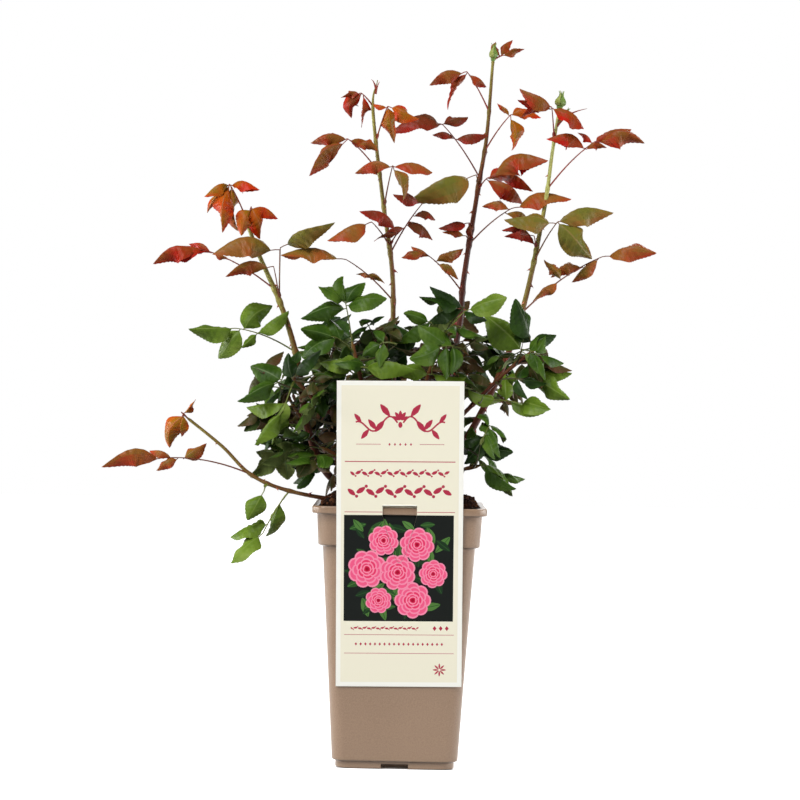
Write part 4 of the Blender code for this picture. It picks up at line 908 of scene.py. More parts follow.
def blade(skin, root, tip, normal, age, tone, draw):
    """One serrate leaflet, folded along its midrib, bowed, twisted and waved."""
    bend = {name: draw.uniform(*limits) for name, limits in BENDS[age].items()}
    phase = [draw.uniform(0, 2 * math.pi) for k in range(PHASES)]
    root, tip, normal = np.array(root), np.array(tip), np.array(normal)
    length = np.linalg.norm(tip - root)
    stations = 2 * int(min(max(length / STATION, LEAST_STATIONS), MOST_STATIONS) / 2)
    t, u = np.linspace(0, 1, stations + 1)[:, None], COLUMNS[None, :]
    half = AGES[age]["width"] * length / 2 * bend["breadth"]
    middle, along, across, up = bent_midrib(root, tip, normal, bend, t)
    forward, aside, height = blade_section(length, half, bend, phase, t, u)
    upper = (middle[:, None, :] + aside[..., None] * across[:, None, :]
             + height[..., None] * up[:, None, :] + forward[..., None] * along[:, None, :])
    face = unit(np.cross(np.gradient(upper, axis=1), np.gradient(upper, axis=0)))
    lower = upper[:, 1:-1] - BLADE_THICK * face[:, 1:-1]
    top, under, ends = blade_faces(stations)
    points = np.concatenate([upper.reshape(-1, 3), lower.reshape(-1, 3)])
    skin.add(points, list(map(tuple, top)) + list(map(tuple, under)) + ends, blade_tints(tone, phase, t, u))


# -------------------- stalks

STALK_STEP, STALK_SIDES = 5.0 * MM, 6
TWIG_TIP = 0.12
# The petiolule is a leaflet's own stalk: its share of an end and of a side leaflet, how far it is
# sunk in the blade, its radius, and its arch in mm.
PETIOLULE_END, PETIOLULE_SIDE, PETIOLULE_SUNK = 0.13, 0.05, 0.02
PETIOLULE_RADIUS, PETIOLULE_ARCH = 0.5 * MM, 0.4
STIPULE_LENGTH, STIPULE_WIDTH, STIPULE_THICK = 9 * MM, 1.9 * MM, 0.3 * MM
# How far out a stipule starts (mm), and along it the share of its length and its width there.
STIPULE_INNER = 0.3
STIPULE = ((0.0, 0.3), (0.35, 0.8), (0.7, 1.0), (0.88, 0.8), (1.12, 0.05))
HOOKS, HOOK_STEP, HOOK = 4, 0.2, 1.1 * MM
# A prickle by its size: how far it stands out, is sunk in and hooks back; and of its half length
# and half breadth the part that narrows, the part that stays, and how hollow its outline is.
THORN_OUT, THORN_IN, THORN_HOOK = 0.95, 0.1, 0.62
THORN_LONG, THORN_BROAD = (0.48, 0.02, 1.4), (0.20, 0.015, 1.2)
THORN_RINGS, THORN_SIDES = 4, 6


def bend_of(points, spacing):
    """Points on the arc that passes through the first, middle and last of three points."""
    first, middle, last = points
    return curve(first, 2 * middle - 0.5 * (first + last), last,
                 max(3, round((last - first).length / spacing)))


def thorn(skin, base, outward, along, size, tint):
    """A prickle: a flattened cone, longer along its cane, that hooks back towards the foot."""
    across = outward.cross(along).normalized()
    rings = []
    for t in (k / THORN_RINGS for k in range(THORN_RINGS + 1)):
        centre = base + outward * size * (THORN_OUT * t - THORN_IN) - along * size * THORN_HOOK * t ** 2
        long, broad = (size * (part * (1 - t) ** hollow + rest)
                       for part, rest, hollow in (THORN_LONG, THORN_BROAD))
        rings.append([centre + along * long * math.cos(a) + across * broad * math.sin(a)
                      for a in circle(THORN_SIDES)])
    skin.add(*loft(rings), tint)


def stipules(skin, base, way, tint):
    """The pair of narrow wings that clasp the foot of a leaf stalk."""
    up = (UP - way * UP.dot(way)).normalized()
    side = way.cross(up)
    for sign in (-1, 1):
        wing = []
        for t, share in STIPULE:
            centre = base + way * STIPULE_LENGTH * t
            inner, outer = side * sign * STIPULE_INNER * MM, side * sign * STIPULE_WIDTH * share
            lift = up * STIPULE_THICK
            wing.append([centre + inner, centre + outer + lift, centre + outer, centre + inner - lift])
        skin.add(*loft(wing), tint)


def compound_leaf(blades, stalks, plan, age, tone, draw):
    """A leaf by its plan: an arched stalk with its leaflets, stipules and a few fine hooks."""
    rachis, leaflets = plan
    tint = STALK_FINISHES[tone]
    arc = bend_of(rachis, STALK_STEP)
    long = route_length(arc)
    if not leaflets:
        stalks.add(*tube(arc, taper(TWIG_RADIUS, TWIG_TIP * TWIG_RADIUS, long), STALK_SIDES), tint)
        return
    stalks.add(*tube(arc, taper(RACHIS_RADIUS, PETIOLULE_RADIUS, long), STALK_SIDES), tint)
    stipules(stalks, arc[0], (arc[1] - arc[0]).normalized(), tint)
    for k in range(HOOKS):
        base, way = point_at(arc, long * (HOOK_STEP + HOOK_STEP * k))
        below = (way.cross(UP).cross(way) * -1).normalized()
        thorn(stalks, base + below * 0.5 * RACHIS_RADIUS, below, way, HOOK, tint)
    for k, (root, tip, normal) in enumerate(leaflets):
        foot = root + (tip - root) * (PETIOLULE_SIDE if k else PETIOLULE_END)
        neck = [root, (root + foot) / 2 + normal * PETIOLULE_ARCH * MM, foot + (tip - root) * PETIOLULE_SUNK]
        stalks.add(*tube(neck, taper(PETIOLULE_RADIUS, 0.7 * PETIOLULE_RADIUS, 1.0), STALK_SIDES), tint)
        blade(blades, foot, tip, normal, age, tone, draw)


# -------------------- canes, crown and buds

CANE_STEP, CANE_SIDES = 2.4 * MM, 12
NODE_SWELL, NODE_REACH = 0.28, 3.2 * MM
# The length over which a cane thins out to its tip.
TIP_BLUNT, TIP_TAPER = 5 * MM, {"centre": 34 * MM, "tall": 1 * MM, "right": 1 * MM}
TIP_LEAST, TIP_POWER = 0.15, 0.6
# Bark relief by radius: bumps with their fineness, and faint ridges round the cane.
BUMP, BUMP_GRAIN, RIDGE, RIDGES = 0.06, 420, 0.035, 5
# Bark tint: mottles with their fineness, painted shade that darkens the side towards +X, and speckles.
MOTTLE, MOTTLE_GRAIN, PAINTED_SHADE_SIDE, SPECKLE = 0.09, 60, 0.12, 0.03
# Prickles: the bare stretches at foot and tip, spacing, least and most size (mm) and loss of size
# to the tip, and the radius below which they are smaller.
THORN_START, THORN_STOP, THORN_STEP = 22 * MM, 0.86, 8.5 * MM
THORN_SIZE, THORN_LOSS, THORN_CANE, THORN_SUNK = (4.2, 6.4), 0.45, 2.4 * MM, 0.3 * MM
# Where each cane's bark starts and ends on the scale from old wood to soft tip, and how late it
# turns from one to the other.
BARK_AGES = {"left": (0.10, 0.95, 1.3), "centre": (0.14, 0.70, 0.6), "tall": (0.12, 0.66, 2.2),
             "right": (0.08, 1.0, 1.15), "low_left": (0.34, 0.62, 1.0)}
BARK_AGE = (0.08, 0.50, 1.0)


def make_cane(canes, shoot, leaves):
    """A cane from crown to tip: tapered and swollen at its leaves, with mottled bark and prickles."""
    route = smooth_route(shoot.path, CANE_STEP)
    nodes = [plan[0][0] for plan, age, tone in leaves if tone != "twig"]
    first, last, late = BARK_AGES.get(shoot.name, BARK_AGE)
    draw = random.Random(shoot.name + "-bark")
    total = route_length(route)
    thin = TIP_TAPER.get(shoot.name, TIP_BLUNT)
    rings, tints = [], []
    for travelled, point, across, other in frames(route):
        share = travelled / total
        near = min(((point - base).length for base in nodes), default=1.0)
        radius = shoot.radius(share * shoot.length) * (1 + NODE_SWELL * math.exp(-(near / NODE_REACH) ** 2))
        radius *= max(TIP_LEAST, min(1.0, (total - travelled) / thin)) ** TIP_POWER
        ring = []
        for angle in circle(CANE_SIDES):
            arm = spoke(across, other, angle)
            bump = BUMP * noise.noise((point + arm * radius) * BUMP_GRAIN) + RIDGE * math.cos(RIDGES * angle)
            ring.append(point + arm * radius * (1 + bump))
            # The mottles are the bark's own; the darker side towards +X is painted shade.
            mottle_and_shade = MOTTLE * noise.noise((point + arm * radius) * MOTTLE_GRAIN) - PAINTED_SHADE_SIDE * arm.x
            value = first + (last - first) * share ** late + mottle_and_shade + draw.uniform(-SPECKLE, SPECKLE)
            tints.append(stepped(BARK_FINISHES, value))
        rings.append(ring)
    points, faces = loft(rings)
    canes.add(points, faces, [tints[0]] + tints[:-CANE_SIDES] + [tints[-1]])
    add_thorns(canes, shoot, route, draw)


def stepped(finishes, value):
    """The step of a row of finishes at a value of 0 to 1."""
    return finishes[int(min(max(value, 0.0), 0.999) * len(finishes))]


def add_thorns(canes, shoot, route, draw):
    """Prickles round a cane at the golden angle, closer and larger towards its foot."""
    total = route_length(route)
    place, turn = THORN_START, draw.uniform(0, 6)
    while place < THORN_STOP * total:
        point, axis = point_at(route, place)
        share = place / total
        turn += GOLDEN
        side = axis.cross(SLANT).normalized()
        outward = spoke(side, axis.cross(side), turn)
        radius = shoot.radius(share * shoot.length)
        size = draw.uniform(*THORN_SIZE) * (1 - THORN_LOSS * share) * MM * min(1.0, radius / THORN_CANE)
        tint = THORN_FINISHES[min(2, int(3 * share + draw.uniform(0, 0.8)))]
        thorn(canes, point + outward * (radius - THORN_SUNK), outward, axis, size, tint)
        place += THORN_STEP * draw.uniform(0.6, 1.5) * (1 + share)


# The knob's outline: radius and height by its own, from the compost up.
KNOB = ((1.1, 0.0), (0.9, 0.12), (0.8, 0.3), (0.8, 0.5), (0.92, 0.72), (0.84, 0.88), (0.55, 1.0))
KNOB_SIDES = 24
# A stub: its radius by its cane's, its flare at the root and how fast that goes, and how far it
# reaches into the cane (mm).
STUB_SIDES, STUB_SWELL, STUB_FLARE, STUB_NARROW, STUB_PAST = 12, 1.12, 1.15, 0.15, 2
CROWN_VOXEL, CROWN_SHADES = 0.9 * MM, 5
# The rough bark's bumps, as depth in mm and fineness, and the depth and fineness of its clouds.
CROWN_BUMPS, CLOUD_DEPTH, CLOUD_GRAIN = ((0.5, 260), (0.35, 700)), 0.9, 120


def flared(radius):
    """The radius along a stub, from its root."""
    return lambda s: radius * (STUB_FLARE - STUB_NARROW * min(1, s / STUB_ROOT))


def make_crown(shoots):
    """The graft knob with a stub for each cane, grown together under rough bark."""
    foot = SOIL_TOP + GAP
    solids = [loft([[Vector((swell * KNOB_RADIUS * math.cos(a), swell * KNOB_RADIUS * math.sin(a),
                             foot + share * KNOB_HEIGHT)) for a in circle(KNOB_SIDES)]
                    for swell, share in KNOB])]
    for shoot in shoots:
        radius = STUB_SWELL * shoot.radii[0]
        start = shoot.foot - shoot.heading * STUB_ROOT
        start.z = max(start.z, foot + radius)
        stop = shoot.foot + shoot.heading * STUB_PAST * MM
        solids.append(tube([start, stop], flared(radius), STUB_SIDES))
    mesh = bpy.data.meshes.new("crown_shapes")
    points, faces = joined(solids)
    mesh.from_pydata(points, [], faces)
    crown = add_piece("crown_bark", mesh)
    join = crown.modifiers.new("join", "REMESH")
    join.mode, join.voxel_size, join.use_smooth_shade = "VOXEL", CROWN_VOXEL, True
    mesh = applied(crown)
    (deep, coarse), (shallow, fine) = CROWN_BUMPS
    for vertex in mesh.vertices:
        rough = deep * noise.noise(vertex.co * coarse) + shallow * noise.noise(vertex.co * fine)
        vertex.co += vertex.normal * rough * MM
        vertex.co.z = max(vertex.co.z, foot - MM)
    for number in BARK_FINISHES[:CROWN_SHADES]:
        mesh.materials.append(FINISHES[number])
    for polygon in mesh.polygons:
        cloud = 0.5 + CLOUD_DEPTH * noise.noise(polygon.center * CLOUD_GRAIN)
        polygon.material_index = stepped(range(CROWN_SHADES), cloud)
    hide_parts("crown")


def applied(piece):
    """Apply a piece's modifiers and return its new mesh."""
    graph = bpy.context.evaluated_depsgraph_get()
    mesh = bpy.data.meshes.new_from_object(piece.evaluated_get(graph))
    piece.modifiers.clear()
    piece.data = mesh
    return mesh


# A bud by its length and radius: the hip's and the closed bud's outline, and each sepal's height,
# reach and width, and how its reach grows with its flare.
HIP = ((0.0, 0.34), (0.06, 0.48), (0.14, 0.62), (0.22, 0.60), (0.26, 0.5))
CLOSED = ((0.24, 0.5), (0.32, 0.86), (0.44, 0.98), (0.58, 0.92), (0.72, 0.68), (0.86, 0.36), (0.97, 0.1))
SEPAL = ((0.23, 0.56, 0.30, 0), (0.34, 0.94, 0.62, 0), (0.48, 1.06, 0.66, 0), (0.64, 1.0, 0.52, 0),
         (0.80, 0.72, 0.36, 0), (0.95, 0.44, 0.2, 0), (1.12, 0.26, 0.09, 1), (1.28, 0.22, 0.03, 2.4))
SEPALS, BUD_SIDES, BUD_STALK = 5, 12, 0.7 * MM
# How far a sepal stands off the bud, and by how much its edges and its inside lie further in.
SEPAL_OFF, SEPAL_EDGE, SEPAL_THICK = 0.05, 0.16, 0.10
BUD_SLANT = Vector((0.3, 0.9, 0.1))


def make_bud(skin, base, axis, length, radius, draw):
    """A flower bud: the swollen hip, the closed green bud, and the sepals that clasp it."""
    across = axis.cross(BUD_SLANT).normalized()
    other = axis.cross(across)
    for outline, tint in ((HIP, "hip"), (CLOSED, "green")):
        skin.add(*loft([[base + axis * share * length + swell * radius * spoke(across, other, angle)
                         for angle in circle(BUD_SIDES)] for share, swell in outline]), BUD_FINISHES[tint])
    for k, angle in enumerate(circle(SEPALS)):
        turn = angle + draw.uniform(-0.1, 0.1)
        flare = draw.uniform(0.0, 0.25)
        outward = spoke(across, other, turn)
        tangent = axis.cross(outward)
        sepal = []
        for share, swell, wide, spread in SEPAL:
            middle = base + axis * share * length + outward * radius * (swell + spread * flare + SEPAL_OFF)
            edge, sunk = tangent * radius * wide, outward * SEPAL_EDGE * radius
            sepal.append([middle - edge - sunk, middle, middle + edge - sunk,
                          middle - outward * SEPAL_THICK * radius])
        skin.add(*loft(sepal), BUD_FINISHES["sepal" if k % 2 else "hip"])


# -------------------- pot

def rounded_square(half, height, radius=CORNER_RADIUS):
    """A ring of points round a square with rounded corners."""
    ring = []
    for corner in range(4):
        turn = corner * math.pi / 2
        centre = Matrix.Rotation(turn, 3, "Z") @ Vector((half - radius, half - radius, 0))
        for k in range(CORNER_STEPS + 1):
            arm = outwards(turn + k / CORNER_STEPS * math.pi / 2) * radius
            ring.append(centre + arm + UP * height)
    return ring


def body_half(height):
    """Half width of the tapering side wall at a height."""
    share = (height - FOOT_HEIGHT) / (COLLAR_FOOT - FOOT_HEIGHT)
    return BODY_FOOT_HALF + (BODY_TOP_HALF - BODY_FOOT_HALF) * share


# The most of a side that a rounded corner takes.
CUT_MOST = 0.45


def soften(outline, radius, steps=3):
    """An outline with each of its inner corners rounded off."""
    points = [Vector(p) for p in outline]
    rounded = [points[0]]
    for before, corner, after in zip(points, points[1:], points[2:]):
        back, ahead = before - corner, after - corner
        cut = min(radius, CUT_MOST * back.length, CUT_MOST * ahead.length)
        rounded += curve(corner + back.normalized() * cut, corner, corner + ahead.normalized() * cut, steps)
    return rounded + [points[-1]]


def boxed(name, low, high):
    """A plain box as an object, used to cut another."""
    mesh = bpy.data.meshes.new(name)
    corners = [(x, y, z) for z in (low[2], high[2]) for y in (low[1], high[1]) for x in (low[0], high[0])]
    faces = [(0, 2, 3, 1), (4, 5, 7, 6), (0, 1, 5, 4), (2, 6, 7, 3), (0, 4, 6, 2), (1, 3, 7, 5)]
    mesh.from_pydata(corners, [], faces)
    return put(name, mesh)


EDGE_ROUND, WALL_PIECE = 1.3 * MM, 16 * MM


def pot_outline():
    """The wall's outline, from under the foot up the outside and down the inside."""
    corners = [
        (FOOT_HALF - 6 * MM, 0.0),
        (FOOT_HALF, 0.0),
        (FOOT_HALF, FOOT_HEIGHT),
        (BODY_FOOT_HALF - 0.4 * MM, FOOT_HEIGHT + 0.6 * STEP),
        (BODY_FOOT_HALF, FOOT_HEIGHT + STEP + 0.6 * MM),
        (BODY_TOP_HALF, COLLAR_FOOT - STEP),
        (COLLAR_FOOT_HALF, COLLAR_FOOT),
        (COLLAR_TOP_HALF, LIP_FOOT),
        (LIP_HALF, LIP_FOOT + 0.2 * MM),
        (LIP_HALF, POT_HEIGHT),
        (COLLAR_TOP_HALF - WALL, POT_HEIGHT),
        (COLLAR_FOOT_HALF - WALL, COLLAR_FOOT + STEP),
        (BODY_TOP_HALF - WALL, COLLAR_FOOT - STEP),
        (BODY_FOOT_HALF - WALL, FLOOR),
    ]
    profile = soften([(half, height, 0) for half, height in corners], EDGE_ROUND)
    wall = []
    for point, after in zip(profile, profile[1:]):
        pieces = max(1, round((after - point).length / WALL_PIECE))
        wall += [point.lerp(after, k / pieces) for k in range(pieces)]
    return wall + [profile[-1]]


def make_pot():
    """The moulded pot: foot with notches, tapering wall, collar and slotted lip."""
    mesh = bpy.data.meshes.new("pot")
    points, faces = loft([rounded_square(p.x, p.y) for p in pot_outline()])
    mesh.from_pydata(points, [], faces)
    pot = add_piece("pot_shell", mesh)
    notch, slot = NOTCH_WIDTH / 2, SLOT_WIDTH / 2
    cutters = []
    for k in range(4):
        cutters.append(boxed("notch", (-notch, BODY_FOOT_HALF - NOTCH_DEPTH, -NOTCH_HEIGHT),
                             (notch, BODY_FOOT_HALF + NOTCH_DEPTH, NOTCH_HEIGHT)))
        cutters[-1].data.transform(Matrix.Rotation(k * math.pi / 2, 4, "Z"))
    cutters.append(boxed("slot", (-slot, SLOT_Y - SLOT_DEPTH / 2, LIP_FOOT - 2 * MM),
                         (slot, SLOT_Y + SLOT_DEPTH / 2, POT_HEIGHT + 2 * MM)))
    for cutter in cutters:
        cut = pot.modifiers.new("cut", "BOOLEAN")
        cut.operation, cut.object, cut.solver = "DIFFERENCE", cutter, "EXACT"
    mesh = applied(pot)
    for cutter in cutters:
        bpy.data.objects.remove(cutter)
    mesh.materials.clear()
    mesh.materials.append(plastic_finish())
    mesh.shade_smooth()
    mesh.set_sharp_from_angle(angle=math.radians(50))
    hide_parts("pot")


# The plastic: two tints with their places on the scale, the fineness of its clouds, specks and
# surface, and the share of the specks in the tint.
PLASTIC_TINTS = ((0.25, (130, 104, 82)), (0.75, (154, 127, 103)))
PLASTIC_GRAINS, SPECK_SHARE, CLOUD_SHARE = (9.0, 900.0, 420.0), 0.6, 0.4
PLASTIC_ROUGHNESS, PLASTIC_GLOSS, PEEL_DEPTH, PEEL_STRENGTH = 0.30, 0.5, 0.08 * MM, 0.4


def plastic_finish():
    """Taupe moulded plastic with a fine speckle and a slight orange-peel surface."""
    made, tree, shader = material("taupe_plastic", Roughness=PLASTIC_ROUGHNESS,
                                  Specular_IOR_Level=PLASTIC_GLOSS)
    place = node(tree, "TexCoord")
    cloud, speck, peel = (node(tree, "TexNoise", Scale=scale, Detail=2.0) for scale in PLASTIC_GRAINS)
    bump = node(tree, "Bump", Distance=PEEL_DEPTH, Strength=PEEL_STRENGTH)
    tints = node(tree, "ValToRGB")
    for stop, (position, tint) in zip(tints.color_ramp.elements, PLASTIC_TINTS):
        stop.position, stop.color = position, srgb(tint)
    share, blend = node(tree, "Math"), node(tree, "Math")
    share.operation, blend.operation = "MULTIPLY", "MULTIPLY_ADD"
    share.inputs[1].default_value, blend.inputs[1].default_value = CLOUD_SHARE, SPECK_SHARE
    wire(tree, *((place, "Object", pattern, "Vector") for pattern in (cloud, speck, peel)))
    wire(tree, (cloud, "Fac", share, 0), (speck, "Fac", blend, 0), (share, "Value", blend, 2),
         (blend, "Value", tints, "Fac"), (tints, "Color", shader, "Base Color"),
         (peel, "Fac", bump, "Height"), (bump, "Normal", shader, "Normal"))
    return made


# -------------------- compost

SOIL_GRID, CRUMBS, FIBRES = 72, 2600, 200
SOIL_HALF = COLLAR_TOP_HALF - WALL - 3 * GAP
RIM_HEAP, HEAP_STEEP, HEAP_START, EDGE_STEEP = 3.5 * MM, 3.0, 0.62, 5.0
# The surface's bumps: depth, fineness and seed of the coarse and of the fine ones.
SOIL_BUMPS = ((1.5 * MM, 60, 0.2), (0.9 * MM, 210, 0.7))
# Crumbs: least and most size (mm), every so many of them larger, and how near the rim they keep;
# how high they lie, how far from the rim, and the least and most of their stretch and roughness.
CRUMB_SIZE, LARGE_CRUMB, LARGE_EVERY, RIM_SPREAD = (1.0, 3.4), 1.35, 11, 9 * MM
CRUMB_HIGH, CRUMB_OFF, CRUMB_STRETCH, CRUMB_ROUGH = 0.35, 1.1, (0.6, 1.25), (0.82, 1.15)
# Fibres: how near the rim they start and stop, their height, least and most length and arch (mm),
# and their radii.
FIBRE_START, FIBRE_STOP, FIBRE_HIGH = 0.94, 0.97, 0.6 * MM
FIBRE_LENGTH, FIBRE_ARCH, FIBRE_RADII = (3, 8), (0, 1.6), (0.35 * MM, 0.2 * MM)
SOIL_TINTS = [(18, 9, 5), (34, 18, 10), (54, 30, 18), (86, 54, 34)]


def soil_height(x, y):
    """The crumbly surface: low in the middle of each side, heaped at the rim and round the knob."""
    edge = max(abs(x), abs(y)) / (COLLAR_TOP_HALF - WALL)
    rise = sum(depth * noise.noise(Vector((x, y, seed)) * grain) for depth, grain, seed in SOIL_BUMPS)
    heap = SOIL_EDGE + (SOIL_TOP - SOIL_EDGE) * min(1.0, EDGE_STEEP * max(0.0, 1.0 - edge))
    return heap + rise + RIM_HEAP * min(1.0, max(0.0, HEAP_STEEP * (edge - HEAP_START)))


def on_soil(x, y, above=0.0):
    """A point at a height above the surface."""
    return Vector((x, y, soil_height(x, y) + above))


def past_corner(x, y, half):
    """How far a point lies into the rounded corner of a square, from the corner's centre."""
    return Vector((max(abs(x) - half + CORNER_RADIUS, 0), max(abs(y) - half + CORNER_RADIUS, 0)))


def make_soil(draw):
    """Compost: a body inside the pot, a lumpy surface, crumbs and bits of root and bark on it."""
    skin = Skin()
    below = [(BODY_FOOT_HALF - WALL - 2 * GAP, FLOOR + GAP),
             (BODY_TOP_HALF - WALL - 2 * GAP, COLLAR_FOOT - STEP),
             (COLLAR_FOOT_HALF - WALL - 3 * GAP, COLLAR_FOOT + 2 * STEP), (SOIL_HALF, SOIL_EDGE - 2 * MM)]
    skin.add(*loft([rounded_square(half, height) for half, height in below]), SOIL_FINISHES[0])
    add_surface(skin, draw)
    lump = lump_shape()
    for k in range(CRUMBS):
        add_crumb(skin, lump, k, draw)
    for k in range(FIBRES):
        add_fibre(skin, draw)
    soil = skin.piece("compost", "compost", crease=35)
    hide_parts("soil")


def add_surface(skin, draw):
    """The lumpy surface, a grid drawn in at the pot's rounded corners."""
    count = SOIL_GRID + 1
    points = []
    for i in range(count):
        for j in range(count):
            x, y = ((2 * k / SOIL_GRID - 1) * SOIL_HALF for k in (i, j))
            corner = past_corner(x, y, SOIL_HALF)
            if corner.length > CORNER_RADIUS:
                x -= math.copysign(corner.x * (1 - CORNER_RADIUS / corner.length), x)
                y -= math.copysign(corner.y * (1 - CORNER_RADIUS / corner.length), y)
            points.append((x, y, soil_height(x, y)))
    faces = [(i * count + j, (i + 1) * count + j, (i + 1) * count + j + 1, i * count + j + 1)
             for i in range(SOIL_GRID) for j in range(SOIL_GRID)]
    skin.add(points, faces, [SOIL_FINISHES[draw.choice((0, 0, 1, 1, 2))] for face in faces])


def add_crumb(skin, lump, k, draw):
    """A rough lump on the surface; two in three keep to the rim."""
    x, y = draw.uniform(-SOIL_HALF, SOIL_HALF), draw.uniform(-SOIL_HALF, SOIL_HALF)
    if k % 3:
        x, y = draw.choice(((x, math.copysign(SOIL_HALF - abs(draw.gauss(0, RIM_SPREAD)), y)),
                            (math.copysign(SOIL_HALF - abs(draw.gauss(0, RIM_SPREAD)), x), y)))
    size = draw.uniform(*CRUMB_SIZE) * MM * (LARGE_CRUMB if k % LARGE_EVERY == 0 else 1.0)
    inner = SOIL_HALF - CRUMB_OFF * size
    x, y = min(max(x, -inner), inner), min(max(y, -inner), inner)
    if past_corner(x, y, inner).length > CORNER_RADIUS:
        return
    centre = on_soil(x, y, CRUMB_HIGH * size)
    turn = Matrix.Rotation(draw.uniform(0, 6.3), 3, Vector((draw.random(), draw.random(), 0.4)))
    scale = [size * draw.uniform(*CRUMB_STRETCH) for axis in range(3)]
    shape = [centre + turn @ Vector([p[a] * scale[a] for a in range(3)]) * draw.uniform(*CRUMB_ROUGH)
             for p in lump[0]]
    skin.add(shape, lump[1], SOIL_FINISHES[draw.choice((0, 1, 1, 2, 2, 3))])


def add_fibre(skin, draw):
    """A bit of root or bark that lies on the surface."""
    x, y = (draw.uniform(-SOIL_HALF, SOIL_HALF) * FIBRE_START for axis in range(2))
    way = Vector((draw.uniform(-1, 1), draw.uniform(-1, 1), draw.uniform(-0.1, 0.5))).normalized()
    start = on_soil(x, y, FIBRE_HIGH)
    long = draw.uniform(*FIBRE_LENGTH) * MM
    stop = start + way * long
    edge = FIBRE_STOP * SOIL_HALF
    stop.x, stop.y = (min(max(value, -edge), edge) for value in stop.xy)
    middle = (start + stop) / 2 + UP * draw.uniform(*FIBRE_ARCH) * MM
    fibre = tube([start, middle, stop], taper(*FIBRE_RADII, long), 4)
    skin.add(*fibre, SOIL_FINISHES[draw.choice((2, 3, 3))])


def lump_shape():
    """A rough lump of unit size: the corners of an icosahedron."""
    made = bmesh.new()
    bmesh.ops.create_icosphere(made, subdivisions=1, radius=1.0)
    points = [tuple(v.co) for v in made.verts]
    faces = [tuple(v.index for v in face.verts) for face in made.faces]
    made.free()
    return points, faces


# -------------------- label

# Tints of the card and its print, in display values.
PRINT = {
    "card": (253, 252, 243), "ground": (246, 241, 219), "rule": (178, 48, 72),
    "night": (5, 10, 7), "leaf_low": (20, 44, 22), "leaf_mid": (40, 76, 34), "leaf_high": (78, 120, 56),
    "rose_rim": (250, 146, 176), "rose_pale": (246, 92, 138), "rose_mid": (238, 56, 104),
    "rose_deep": (220, 26, 72), "rose_heart": (164, 10, 46), "edge": (226, 220, 204),
}
TONGUE_CUT, TONGUE_BEND, TONGUE_DROP = 0.3 * MM, 13 * MM, 2 * MM
TONGUE_ROUND, TONGUE_STRAIGHT = 0.62, 0.38
# Half width and top of the card, the margin round its print, and the left, foot, right and top of
# the panel and of each rule, in mm from the middle of the card's foot.
CARD_HALF, CARD_TOP, MARGIN = CARD_WIDTH / MM / 2, CARD_LENGTH / MM, 4.5
PANEL = (-54.5, 65.5, 53.0, 171.0)
RULES = [(-54, 223.3, 54, 224.2), (-54, 173.7, -17, 174.3), (17, 173.7, 54, 174.3),
         (-54, 51.7, 54, 52.2), (-54, 33.1, 54, 33.6)]
# The wreath: reach and radius of each bloom, its first bearing and step (degrees), and the leaves
# behind with their least and most length.
BLOOMS, BLOOM_START, BLOOM_STEP = ((32, 18), (34, 14), (32, 17), (34, 15), (31, 19), (35, 13)), -64, 60
PANEL_LEAVES, PANEL_LEAF = 60, (6.5, 11.0)
# A bloom's rings: how far out the petals lie, and how many there are.
PETALS = ((0.74, 8), (0.54, 7), (0.36, 6), (0.20, 5), (0.07, 3))
PETAL_TINTS = ("rose_pale", "rose_pale", "rose_mid", "rose_mid", "rose_deep")


def rectangle(left, low, right, high):
    """The corners of an upright rectangle."""
    return [(left, low), (right, low), (right, high), (left, high)]


def oval(x, y, long, broad, turn, points=18, pinch=0.0):
    """An oval, or with a pinch a shape pointed at both ends, turned by an angle."""
    cos, sin = math.cos(turn), math.sin(turn)
    outline = []
    for angle in circle(points):
        a, b = long * math.cos(angle), broad * math.sin(angle) * (1 - pinch * abs(math.cos(angle)) ** 1.5)
        outline.append((x + a * cos - b * sin, y + a * sin + b * cos))
    return outline


def stroke(route, width):
    """A thin band along a flat route."""
    left, right = [], []
    for k, (x, y) in enumerate(route):
        ax, ay = route[max(k - 1, 0)]
        bx, by = route[min(k + 1, len(route) - 1)]
        long = math.hypot(bx - ax, by - ay)
        nx, ny = -(by - ay) / long * width / 2, (bx - ax) / long * width / 2
        left.append((x + nx, y + ny))
        right.append((x - nx, y - ny))
    return left + right[::-1]


def counterclockwise(outline):
    """The outline in the order that has its inside on the left."""
    sides = zip(outline, outline[1:] + outline[:1])
    twice_area = sum(ax * by - bx * ay for (ax, ay), (bx, by) in sides)
    return outline if twice_area > 0 else outline[::-1]


def rosette(x, y, radius, turn):
    """A round bloom drawn as rings of petals, paler at their rims and deeper inside."""
    shapes = [(oval(x, y, radius * 0.9, radius * 0.9, 0, 24), "rose_deep")]
    inward = 0.05 * radius
    for ring, (share, count) in enumerate(PETALS):
        long, broad = radius * (0.34 - 0.035 * ring), radius * (0.27 - 0.03 * ring)
        for k in range(count):
            angle = turn + 2 * math.pi * (k + 0.5 * (ring % 2)) / count
            cos, sin = math.cos(angle), math.sin(angle)
            px, py = x + cos * radius * share, y + sin * radius * share
            shapes.append((oval(px, py, broad, long, angle, 14), "rose_rim"))
            shapes.append((oval(px - cos * inward, py - sin * inward, broad * 0.84, long * 0.84, angle, 14),
                           PETAL_TINTS[ring]))
    shapes.append((oval(x, y, radius * 0.09, radius * 0.09, 0, 10), "rose_heart"))
    return shapes


def painted_leaf(x, y, long, turn, tint):
    """A drawn leaf with a midrib."""
    rib = [(x + way * long * math.cos(turn), y + way * long * math.sin(turn)) for way in (-0.9, 0.9)]
    lighter = {"leaf_low": "leaf_mid", "leaf_mid": "leaf_high", "leaf_high": "leaf_mid"}[tint]
    return [(oval(x, y, long, 0.42 * long, turn, 16, 0.5), tint), (stroke(rib, 0.07 * long), lighter)]


